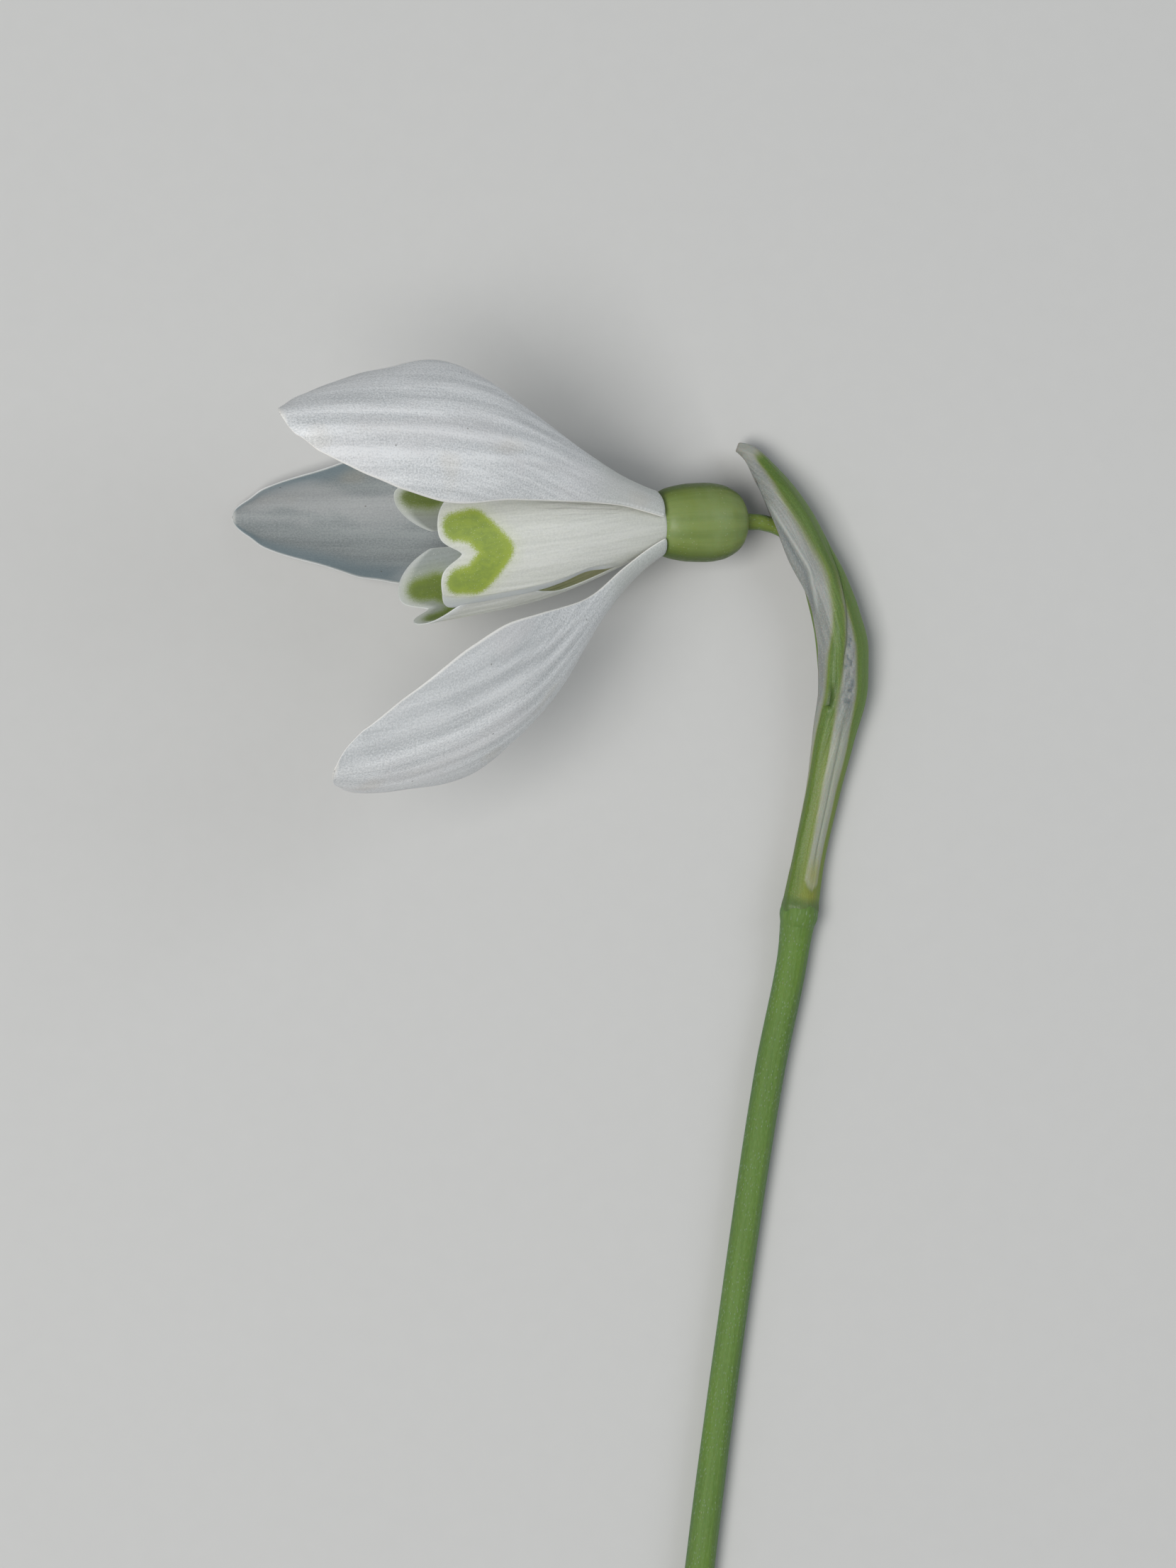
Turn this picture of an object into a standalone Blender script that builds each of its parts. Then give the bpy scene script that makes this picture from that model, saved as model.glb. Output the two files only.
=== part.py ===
"""A snowdrop flower, cut and laid on its side.

The scape (flower stem) and the spathe lie on the surface. The pedicel comes out of the spathe and carries
the ovary, whose far end holds three spreading outer tepals, a cup of three notched inner tepals, six
stamens and the style. Lengths are in millimetres until the last step, and angles are in degrees.

Frame: +Z up from the surface, +Y along the flower from the cut end, origin at the middle of the base.
"""

import math

import bpy
import numpy as np
from mathutils import Vector

MM = 0.001
FLOWER = "snowdrop_flower"

# The flower's own axis runs from the ovary to the open mouth.
JUNCTION = (5.3, 25.3, 3.98) # where the tepals leave the ovary
MOUTH_LIFT = 19.0            # the axis rises towards the mouth
MOUTH_TURN = 7.0             # and turns from -X towards -Y
JOIN_GAP = 0.2               # between solids that touch in the real flower

OVARY_LENGTH = 4.7
OVARY_TURN = 1.5
OVARY_PROFILE = [  # distance from the pedicel, radius
    (0.0, 0.55), (0.1, 1.0), (0.35, 1.4), (0.75, 1.7), (1.3, 1.93), (2.1, 2.03),
    (3.0, 2.0), (3.8, 1.88), (4.3, 1.74), (4.55, 1.6), (4.7, 1.35),
]

TEPAL_THICKNESS = 0.2
TIP_END = 0.98  # the rounding of the tip stops here, of a full quarter turn's depth
OUTER_BASE_RADIUS = 1.7
# around: place round the axis, 0 at the top and 90 towards +Y. lean: angle from the axis along the tepal.
# sweep: bend within its own plane. twist: turn about its length. cup: half the arc of its cross-section.
# near, far: how far each margin stands out from the regular outline along the tepal.
# blunt: share of the length that rounds off at the tip.
OUTER_TEPALS = {
    "outer_tepal_upper": dict(
        around=39, length=24.8, half_width=4.5, widest=0.61, claw=0.24, tip=0.75,
        lean=(31, 38, 18, 4), sweep=(0, -2, -1), twist=(0, -18, 10), cup=(34, 47, 55),
        near=[(0, 0), (0.25, 0), (0.35, -0.08), (0.5, -0.16), (0.6, -0.16), (0.66, -0.1), (0.71, 0.02),
              (0.76, 0.18), (0.82, 0.2), (0.88, 0.06), (0.92, 0), (0.97, 0.02), (1, -0.08)],
        far=[(0, 0), (0.12, -0.35), (0.3, -0.48), (0.4, -0.34), (0.47, 0.24), (0.53, 0.3), (0.68, -0.12),
             (0.78, 0.25), (0.9, 0.3), (0.955, 0.38), (0.985, 0.22), (1, 0.12)],
        blunt=0.025),
    "outer_tepal_back": dict(
        around=168, length=21.4, half_width=4.25, widest=0.58, claw=0.20, tip=0.60,
        lean=(36, 31.5, 21, 15), sweep=(0, -2.5, -3.5), twist=(0, 10, 3), cup=(34, 55, 60),
        near=[(0, 0), (0.3, 0), (0.55, -0.1), (0.75, 0), (1, 0)],
        far=[(0, 0), (0.3, 0), (0.63, -0.25), (0.71, 0), (1, 0)],
        blunt=0.035),
    "outer_tepal_lower": dict(
        around=-58, length=23.5, half_width=4.6, widest=0.59, claw=0.19, tip=0.90,
        lean=(26, 44.5, 19.5, 1), sweep=(0, -5, 5.5), twist=(0, 18.5, 10), cup=(34, 41.5, 51),
        near=[(0, 0), (0.1, -0.05), (0.18, -0.2), (0.26, -0.38), (0.35, -0.25), (0.47, -0.72), (0.54, -0.62),
              (0.64, 0.25), (0.75, 0.15), (0.85, 0.4), (0.93, 0.45), (0.97, 0.35), (1, 0)],
        far=[(0, 0), (0.12, -0.05), (0.2, -0.25), (0.27, -0.36), (0.33, -0.27), (0.47, 0.17), (0.6, -0.12),
             (0.8, -0.1), (0.91, -0.32), (0.97, -0.12), (1, 0)],
        blunt=0.04),
}
INNER_HALF_WIDTH = 3.55
INNER_WIDTH = [(0, 0.32), (0.2, 0.52), (0.45, 0.74), (0.7, 0.93), (0.88, 1.0), (1.0, 0.97)]
INNER_LEAN = [(0, 21), (0.3, 17), (0.75, 4), (1, 8)]
NOTCH_DEPTH = 0.09    # of the length
NOTCH_WIDTH = 0.15    # of the half width
# rounding: how far the end falls back towards each margin, of the length.
INNER_TEPALS = {
    "inner_tepal_front": dict(around=-9, length=13.35, base_radius=1.38, rounding=(0.09, 0.14)),
    "inner_tepal_upper": dict(around=107, length=13.4, base_radius=1.1, rounding=(0.16, 0.16)),
    "inner_tepal_lower": dict(around=-125, length=13.55, base_radius=1.1, rounding=(0.16, 0.16)),
}

STAMENS = 6
STAMEN_RING = 0.72
STAMEN_LEAN = 1.5
STAMEN_PROFILE = [(0, 0.1), (0.8, 0.1), (1.0, 0.26), (1.8, 0.3), (3.4, 0.24), (5.4, 0.13), (6.0, 0.04)]
STYLE_PROFILE = [(0, 0.2), (0.4, 0.13), (5.0, 0.13), (7.6, 0.17), (8.4, 0.12), (8.6, 0.05)]

PEDICEL_RADIUS = 0.4
PEDICEL_ROUTE = [
    (9.85, 25.42, 2.41), (10.4, 25.42, 2.2), (11.0, 25.32, 1.92), (11.8, 25.0, 1.68), (12.7, 24.0, 1.48),
    (13.3, 21.9, 1.36), (13.8, 19.6, 1.3), (14.0, 17.4, 1.22), (14.15, 15.0, 1.08), (13.95, 12.0, 0.94),
    (13.2, 8.6, 0.9), (12.65, 5.9, 0.96),
]

SPATHE_THICKNESS = 0.28
KEEL_RISE = 0.1
# From the node to the tip: share of the length, centre x, centre y, centre z, half width, half depth,
# and where the two free margins are, as angles from the right-hand keel over the top and underneath.
SPATHE_SECTIONS = [
    (0.00, 12.60, 5.65, 0.98, 0.94, 0.95, 176, -176),
    (0.12, 13.18, 8.60, 0.88, 0.83, 0.85, 176, -176),
    (0.24, 13.80, 11.45, 0.93, 0.87, 0.90, 176, -174),
    (0.35, 14.35, 14.35, 1.12, 1.08, 1.10, 168, -162),
    (0.47, 14.85, 17.25, 1.34, 1.29, 1.32, 148, -146),
    (0.54, 14.85, 18.80, 1.38, 1.31, 1.36, 146, -142),
    (0.61, 14.52, 20.55, 1.40, 1.22, 1.38, 148, -140),
    (0.68, 13.92, 22.30, 1.42, 1.15, 1.40, 146, -138),
    (0.75, 13.15, 23.75, 1.48, 1.14, 1.46, 140, -138),
    (0.82, 12.47, 25.24, 1.50, 1.06, 1.48, 134, -132),
    (0.88, 11.69, 26.70, 1.42, 0.88, 1.38, 132, -130),
    (0.94, 10.74, 28.14, 1.26, 0.60, 0.90, 134, -132),
    (0.975, 10.05, 28.98, 1.20, 0.44, 0.60, 140, -138),
    (1.00, 9.45, 29.30, 1.18, 0.30, 0.34, 150, -148),
]
FRONT_KEEL = [(0, 132), (0.24, 130), (0.42, 112), (0.53, 102), (0.61, 80), (0.75, 48), (0.9, 40), (1, 30)]

SCAPE_ROUTE = [  # centre x, y, z and radius, from the cut end to the node under the spathe
    (6.94, -33.20, 0.77, 0.77), (7.80, -25.80, 0.77, 0.77),
    (9.35, -14.20, 0.75, 0.74), (11.10, -2.70, 0.79, 0.79), (12.25, 3.00, 0.8, 0.79),
    (12.50, 4.80, 0.9, 0.87), (12.60, 5.50, 0.96, 0.94),
]

COLOURS = {  # base colour and roughness
    "scape": ((0.11, 0.22, 0.06), 0.45),
    "spathe": ((0.20, 0.28, 0.11), 0.5),
    "pedicel": ((0.16, 0.24, 0.05), 0.45),
    "ovary": ((0.13, 0.23, 0.05), 0.4),
    "outer_tepal": ((0.72, 0.74, 0.74), 0.55),
    "inner_tepal": ((0.70, 0.72, 0.64), 0.55),
    "stamen": ((0.75, 0.42, 0.08), 0.6),
    "style": ((0.60, 0.68, 0.40), 0.5),
}


def unit(vectors):
    """Each vector at length 1."""
    return vectors / np.linalg.norm(vectors, axis=-1, keepdims=True)


def through(knots, places):
    """A smooth curve through (place, value) knots that never overshoots them (monotone cubic)."""
    x, y = np.array(knots, float).T
    places = np.asarray(places, float)
    if len(x) == 2:
        return y[0] + (y[1] - y[0]) * (places - x[0]) / (x[1] - x[0])
    step = np.diff(x)
    rise = np.diff(y) / step
    slope = np.zeros_like(y)
    same_way = rise[1:] * rise[:-1] > 0
    near, far = 2 * step[1:] + step[:-1], step[1:] + 2 * step[:-1]
    safe = np.where(rise == 0, 1, rise)
    slope[1:-1] = np.where(same_way, (near + far) / (near / safe[:-1] + far / safe[1:]), 0)
    for end, beside, sign in ((0, 1, 1), (-1, -2, -1)):
        h0, h1 = step[::sign][0], step[::sign][1]
        d0, d1 = rise[::sign][0], rise[::sign][1]
        guess = ((2 * h0 + h1) * d0 - h0 * d1) / (h0 + h1)
        if guess * d0 <= 0:
            guess = 0
        elif d0 * d1 <= 0 and abs(guess) > 3 * abs(d0):
            guess = 3 * d0
        slope[end] = guess
    left = np.clip(np.searchsorted(x, places, side="right") - 1, 0, len(x) - 2)
    t = (places - x[left]) / step[left]
    return (
        y[left] * (1 + 2 * t) * (1 - t) ** 2
        + slope[left] * step[left] * t * (1 - t) ** 2
        + y[left + 1] * t**2 * (3 - 2 * t)
        + slope[left + 1] * step[left] * t**2 * (t - 1)
    )


def direction(lift, turn):
    """The unit vector that lifts from -X towards +Z and turns towards -Y."""
    lift, turn = math.radians(lift), math.radians(turn)
    return np.array([-math.cos(lift) * math.cos(turn), -math.cos(lift) * math.sin(turn), math.sin(lift)])


AXIS = direction(MOUTH_LIFT, MOUTH_TURN)
UPWARD = unit(np.array([0, 0, 1.0]) - AXIS[2] * AXIS)
SIDEWAYS = np.cross(AXIS, UPWARD)  # towards +Y
OVARY_AXIS = direction(MOUTH_LIFT, OVARY_TURN)


def spokes(around):
    """The radial and the tangential direction at a place round the flower's axis."""
    angle = math.radians(around)
    radial = UPWARD * math.cos(angle) + SIDEWAYS * math.sin(angle)
    tangent = -UPWARD * math.sin(angle) + SIDEWAYS * math.cos(angle)
    return radial, tangent


def outer_width(tepal):
    """Knots of an outer tepal's half width: narrow claw, broad blade, pointed tip."""
    widest, claw, tip = tepal["widest"], tepal["claw"], tepal["tip"]
    left = 1 - widest
    return [
        (0, 0.9 * claw), (0.08, claw), (0.2, 1.6 * claw), (widest - 0.2, 0.76), (widest, 1),
        (widest + 0.5 * left, 0.5 + 0.3 * tip), (widest + 0.825 * left, 0.25 + 0.3 * tip),
        (0.97, 0.1 + 0.25 * tip), (1, 0.05 + 0.2 * tip),
    ]


def outer_surface(tepal, along, across):
    """The middle surface of an outer tepal as a grid of points.

    Its midline leaves the ovary's rim and follows the lean angle. Each cross-section is an arc that
    is hollow towards the axis.
    """
    s = np.linspace(0, 1, along)
    t = np.linspace(-1, 1, across)
    radial, tangent = spokes(tepal["around"])
    lean = np.radians(through(list(zip((0, 0.3, 0.65, 1), tepal["lean"])), s))[:, None]
    sweep = np.radians(through(list(zip((0, 0.5, 1), tepal["sweep"])), s))[:, None]
    twist = np.radians(through(list(zip((0, 0.5, 1), tepal["twist"])), s))[:, None]
    start, middle, end = tepal["cup"]
    cup = np.radians(through([(0, start), (0.25, (start + middle) / 2), (0.6, middle), (1, end)], s))
    inward = np.sin(lean) * AXIS - np.cos(lean) * radial
    forward = np.cos(lean) * AXIS + np.sin(lean) * radial
    forward = forward * np.cos(sweep) + tangent * np.sin(sweep)
    breadth = unit(np.cross(inward, forward))
    breadth *= np.sign(breadth[0] @ tangent)
    breadth, inward = (
        breadth * np.cos(twist) + inward * np.sin(twist),
        inward * np.cos(twist) - breadth * np.sin(twist),
    )
    midline = np.zeros((along, 3))
    midline[1:] = np.cumsum((forward[1:] + forward[:-1]) / 2, axis=0) * tepal["length"] / (along - 1)
    midline += np.array(JUNCTION) + OUTER_BASE_RADIUS * radial + JOIN_GAP * AXIS
    half = tepal["half_width"] * through(outer_width(tepal), s)
    near, far = through(tepal["near"], s), through(tepal["far"], s)
    wide = (half + np.where(t[:, None] < 0, near, far)).T
    blunt = tepal["blunt"]
    round_off = np.sqrt(1 - np.clip((s - 1 + blunt) / blunt, 0, TIP_END) ** 2)
    angle = cup[:, None] * t * round_off[:, None]
    arc_radius = wide / cup[:, None]
    return (
        midline[:, None]
        + (arc_radius * np.sin(angle))[..., None] * breadth[:, None]
        + (arc_radius * (1 - np.cos(angle)))[..., None] * inward[:, None]
    )


def inner_surface(tepal, along, across):
    """The middle surface of an inner tepal as a grid of points.

    It wraps round the flower's axis. Its end has two rounded lobes with a notch between them.
    """
    radial, tangent = spokes(tepal["around"])
    s, t = np.meshgrid(np.linspace(0, 1, along), np.linspace(-1, 1, across), indexing="ij")
    notch = NOTCH_DEPTH * np.exp(-((np.abs(t) / NOTCH_WIDTH) ** 1.6))
    place = s * (1 - notch - np.where(t < 0, *tepal["rounding"]) * np.abs(t) ** 4)
    fine = np.linspace(0, 1, 401)
    lean = np.radians(through(INNER_LEAN, fine))
    step = tepal["length"] / 400
    reach = np.concatenate([[0], np.cumsum(np.cos(lean[1:]) + np.cos(lean[:-1])) * step / 2])
    spread = np.concatenate([[0], np.cumsum(np.sin(lean[1:]) + np.sin(lean[:-1])) * step / 2])
    ahead = np.interp(place, fine, reach) + JOIN_GAP
    out = np.interp(place, fine, spread) + tepal["base_radius"]
    angle = INNER_HALF_WIDTH * through(INNER_WIDTH, place) * t / out
    return (
        np.array(JUNCTION)
        + ahead[..., None] * AXIS
        + (out * np.cos(angle))[..., None] * radial
        + (out * np.sin(angle))[..., None] * tangent
    )


def spathe_surface(along, across):
    """The outer surface of the spathe as a grid of points: a sheath round the pedicel, open on one side."""
    table = np.array(SPATHE_SECTIONS)
    s = np.linspace(0, 1, along)
    x, y, z, half_width, half_depth, over, under = (
        through(np.stack([table[:, 0], column], 1), s)[:, None] for column in table[:, 1:].T
    )
    centre = np.concatenate([x, y], axis=1)
    heading = unit(np.gradient(centre, axis=0))
    right = np.stack([heading[:, 1], -heading[:, 0]], axis=1)
    v = np.linspace(0, 1, across)
    angle = np.radians(under + (over - under) * v)
    # The width is measured from the right-hand keel's ridge to the free margin on the left.
    reach = (2 * half_width - KEEL_RISE) / (1 - np.cos(np.radians(over)))
    front = np.radians(through(FRONT_KEEL, s))[:, None]
    rise = KEEL_RISE * (np.exp(-((angle / 0.35) ** 2)) + np.exp(-(((angle - front) / 0.3) ** 2)))
    sideways = (reach + rise) * np.cos(angle) + half_width - KEEL_RISE - reach
    height = np.maximum(z + (half_depth + rise) * np.sin(angle), 0)
    points = np.empty((along, across, 3))
    points[..., :2] = centre[:, None] + sideways[..., None] * right[:, None]
    points[..., 2] = height
    return points


def material(name):
    """A material with the part's colour."""
    colour, roughness = COLOURS[name]
    made = bpy.data.materials.new(name)
    made.use_nodes = True
    shader = made.node_tree.nodes["Principled BSDF"]
    shader.inputs["Base Color"].default_value = (*colour, 1)
    shader.inputs["Roughness"].default_value = roughness
    shader.inputs["Metallic"].default_value = 0
    made.diffuse_color = (*colour, 1)
    return made


def add(name, data, look, collection, parent):
    """An object of the flower, in its collection and under its empty."""
    made = bpy.data.objects.new(name, data)
    if not data.materials:
        data.materials.append(look)
    collection.objects.link(made)
    made.parent = parent
    return made


def grid_mesh(name, points):
    """An open surface through a grid of points in millimetres."""
    along, across = points.shape[:2]
    corners = np.arange(along * across).reshape(along, across)
    quads = np.stack([corners[:-1, :-1], corners[1:, :-1], corners[1:, 1:], corners[:-1, 1:]], axis=-1)
    mesh = bpy.data.meshes.new(name)
    mesh.from_pydata((points.reshape(-1, 3) * MM).tolist(), [], quads.reshape(-1, 4).tolist())
    mesh.shade_smooth()
    return mesh


def shell(name, points, thickness, offset, look, collection, parent):
    """A thin solid from an open surface."""
    made = add(name, grid_mesh(name, points), look, collection, parent)
    solidify = made.modifiers.new("thickness", "SOLIDIFY")
    solidify.thickness = thickness * MM
    solidify.offset = offset
    return made


def turned_mesh(name, profile):
    """A profile of (distance along +Z, radius) turned round Z, with its ends drawn in to the axis."""
    outline = [(profile[0][0], 0), *profile, (profile[-1][0], 0)][::-1]
    mesh = bpy.data.meshes.new(name)
    points = [(radius * MM, 0, ahead * MM) for ahead, radius in outline]
    mesh.from_pydata(points, [(i, i + 1) for i in range(len(points) - 1)], [])
    return mesh


def turned(name, mesh, sides, place, axis, look, collection, parent):
    """A turned piece whose +Z stands along the given axis."""
    made = add(name, mesh, look, collection, parent)
    made.location = Vector(place) * MM
    made.rotation_mode = "QUATERNION"
    made.rotation_quaternion = Vector(axis).to_track_quat("Z", "Y")
    screw = made.modifiers.new("turn", "SCREW")
    screw.steps = screw.render_steps = sides
    screw.use_merge_vertices = True
    screw.merge_threshold = 1e-6
    screw.use_smooth_shade = True
    return made


def tube(name, points, radii, sides_level, look, collection, parent):
    """A round stalk along the points, with closed ends."""
    curve = bpy.data.curves.new(name, "CURVE")
    curve.dimensions = "3D"
    curve.bevel_depth = MM
    curve.bevel_resolution = sides_level
    curve.use_fill_caps = True
    spline = curve.splines.new("POLY")
    spline.points.add(len(points) - 1)
    for control, place, radius in zip(spline.points, points, radii):
        control.co = (*(np.array(place) * MM), 1)
        control.radius = radius
    return add(name, curve, look, collection, parent)


def smooth_route(route, count):
    """Points read from a smooth curve through the route's own points; further columns follow along."""
    route = np.array(route, float)
    legs = np.linalg.norm(np.diff(route[:, :3], axis=0), axis=1)
    place = np.concatenate([[0], np.cumsum(legs)]) / legs.sum()
    even = np.linspace(0, 1, count)
    return np.stack([through(np.stack([place, column], 1), even) for column in route.T], axis=1)


def add_stalks(collection, parent):
    """The scape with its node, and the pedicel."""
    scape = smooth_route(SCAPE_ROUTE, 26)
    tube("scape", scape[:, :3], scape[:, 3], 2, material("scape"), collection, parent)
    pedicel = smooth_route(PEDICEL_ROUTE, 24)
    radii = np.full(len(pedicel), PEDICEL_RADIUS)
    tube("pedicel", pedicel, radii, 1, material("pedicel"), collection, parent)


def add_ovary(collection, parent):
    """The barrel-shaped ovary between the pedicel and the tepals."""
    mesh = turned_mesh("ovary", OVARY_PROFILE)
    base = np.array(JUNCTION) - OVARY_LENGTH * OVARY_AXIS
    turned("ovary", mesh, 24, base, OVARY_AXIS, material("ovary"), collection, parent)


def add_tepals(collection, parent):
    """Three outer and three inner tepals."""
    outer_look, inner_look = material("outer_tepal"), material("inner_tepal")
    for name, tepal in OUTER_TEPALS.items():
        points = outer_surface(tepal, 35, 10)
        # The hindmost tepal touches the surface the flower lies on, and stays above it.
        points[..., 2] = np.maximum(points[..., 2], TEPAL_THICKNESS / 2)
        shell(name, points, TEPAL_THICKNESS, 0, outer_look, collection, parent)
    for name, tepal in INNER_TEPALS.items():
        shell(name, inner_surface(tepal, 15, 13), TEPAL_THICKNESS, 0, inner_look, collection, parent)


def add_stamens_and_style(collection, parent):
    """Six stamens in a ring round the style, which is the longest."""
    look = material("stamen")
    mesh = turned_mesh("stamen", STAMEN_PROFILE)
    for number in range(STAMENS):
        radial, _ = spokes(30 + 360 * number / STAMENS)
        place = np.array(JUNCTION) + JOIN_GAP * AXIS + STAMEN_RING * radial
        lean = math.radians(STAMEN_LEAN)
        axis = math.cos(lean) * AXIS - math.sin(lean) * radial
        turned(f"stamen_{number + 1}", mesh, 8, place, axis, look, collection, parent)
    place = np.array(JUNCTION) + JOIN_GAP * AXIS
    mesh = turned_mesh("style", STYLE_PROFILE)
    turned("style", mesh, 8, place, AXIS, material("style"), collection, parent)


def main():
    """Build the flower in its own collection, under one empty at the origin."""
    for old in list(bpy.data.objects):
        bpy.data.objects.remove(old, do_unlink=True)
    collection = bpy.data.collections.new(FLOWER)
    bpy.context.scene.collection.children.link(collection)
    parent = bpy.data.objects.new(f"{FLOWER}_origin", None)
    collection.objects.link(parent)
    add_stalks(collection, parent)
    look = material("spathe")
    shell("spathe", spathe_surface(29, 17), SPATHE_THICKNESS, -1, look, collection, parent)
    add_ovary(collection, parent)
    add_tepals(collection, parent)
    add_stamens_and_style(collection, parent)


main()
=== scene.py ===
"""A snowdrop flower, cut and laid on its side on a pale surface.

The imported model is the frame. Every CAD node is replaced by a detailed piece at the same place: tepals as
thin shells with veins and marks, a keeled spathe with crinkled membranes, stalks, an ovary, stamens and a
style. Shapes are worked out in millimetres in the frame's axes and become metres when a mesh is made. Angles
are in degrees unless a name says otherwise.
"""

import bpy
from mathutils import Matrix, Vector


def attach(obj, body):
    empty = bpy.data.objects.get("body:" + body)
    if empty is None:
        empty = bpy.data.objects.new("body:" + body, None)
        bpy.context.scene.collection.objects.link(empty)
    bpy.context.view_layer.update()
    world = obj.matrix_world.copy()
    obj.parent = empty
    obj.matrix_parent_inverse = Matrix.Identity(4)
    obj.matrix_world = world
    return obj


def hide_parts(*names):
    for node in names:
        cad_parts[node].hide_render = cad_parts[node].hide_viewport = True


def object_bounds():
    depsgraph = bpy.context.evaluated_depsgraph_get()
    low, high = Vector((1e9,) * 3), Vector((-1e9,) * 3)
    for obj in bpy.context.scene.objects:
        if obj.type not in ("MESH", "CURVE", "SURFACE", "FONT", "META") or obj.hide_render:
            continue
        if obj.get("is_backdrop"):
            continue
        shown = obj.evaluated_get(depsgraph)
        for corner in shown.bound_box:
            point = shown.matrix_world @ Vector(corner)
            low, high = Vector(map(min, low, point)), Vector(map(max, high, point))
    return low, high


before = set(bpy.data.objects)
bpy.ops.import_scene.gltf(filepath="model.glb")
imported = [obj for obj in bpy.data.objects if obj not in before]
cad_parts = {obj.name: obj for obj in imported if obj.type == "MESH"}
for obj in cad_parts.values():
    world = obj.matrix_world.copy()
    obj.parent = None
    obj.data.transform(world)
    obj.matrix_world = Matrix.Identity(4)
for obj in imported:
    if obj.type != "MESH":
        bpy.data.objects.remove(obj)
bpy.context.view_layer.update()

import math

import bpy
import numpy as np
from mathutils import Vector

bl_info = {
    "name": "Snowdrop Flower",
    "version": (1, 0, 0),
    "blender": (4, 5, 0),
    "location": "3D View > Sidebar > Snowdrop",
    "description": "Builds a cut snowdrop flower lying on a pale surface",
    "category": "Add Mesh",
}

MM = 0.001
BODY = "root"

# ---------------------------------------------------------------- the flower's own shape, in millimetres

JUNCTION = np.array([5.3, 25.3, 3.98])  # where the tepals leave the ovary
MOUTH_LIFT = 19.0                       # the flower's axis rises towards the mouth
MOUTH_TURN = 7.0                        # and turns from -X towards -Y
JOIN_GAP = 0.2                          # from the junction to the feet of the stamens and the style
OUTER_START, INNER_START = 0.08, 0.02   # from the junction to the feet of the tepals
OUTER_BASE_RADIUS = 1.7                 # from the axis to the feet of the outer tepals

OVARY_LENGTH = 4.7
OVARY_TURN = 1.5
OVARY_PROFILE = [  # distance from the pedicel, radius
    (0.0, 0.5), (0.03, 0.8), (0.1, 1.0), (0.35, 1.4), (0.75, 1.7), (1.3, 1.93), (2.1, 2.03),
    (3.0, 2.0), (3.8, 1.88), (4.3, 1.74), (4.55, 1.6), (4.7, 1.42), (4.86, 1.2),
]

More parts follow.
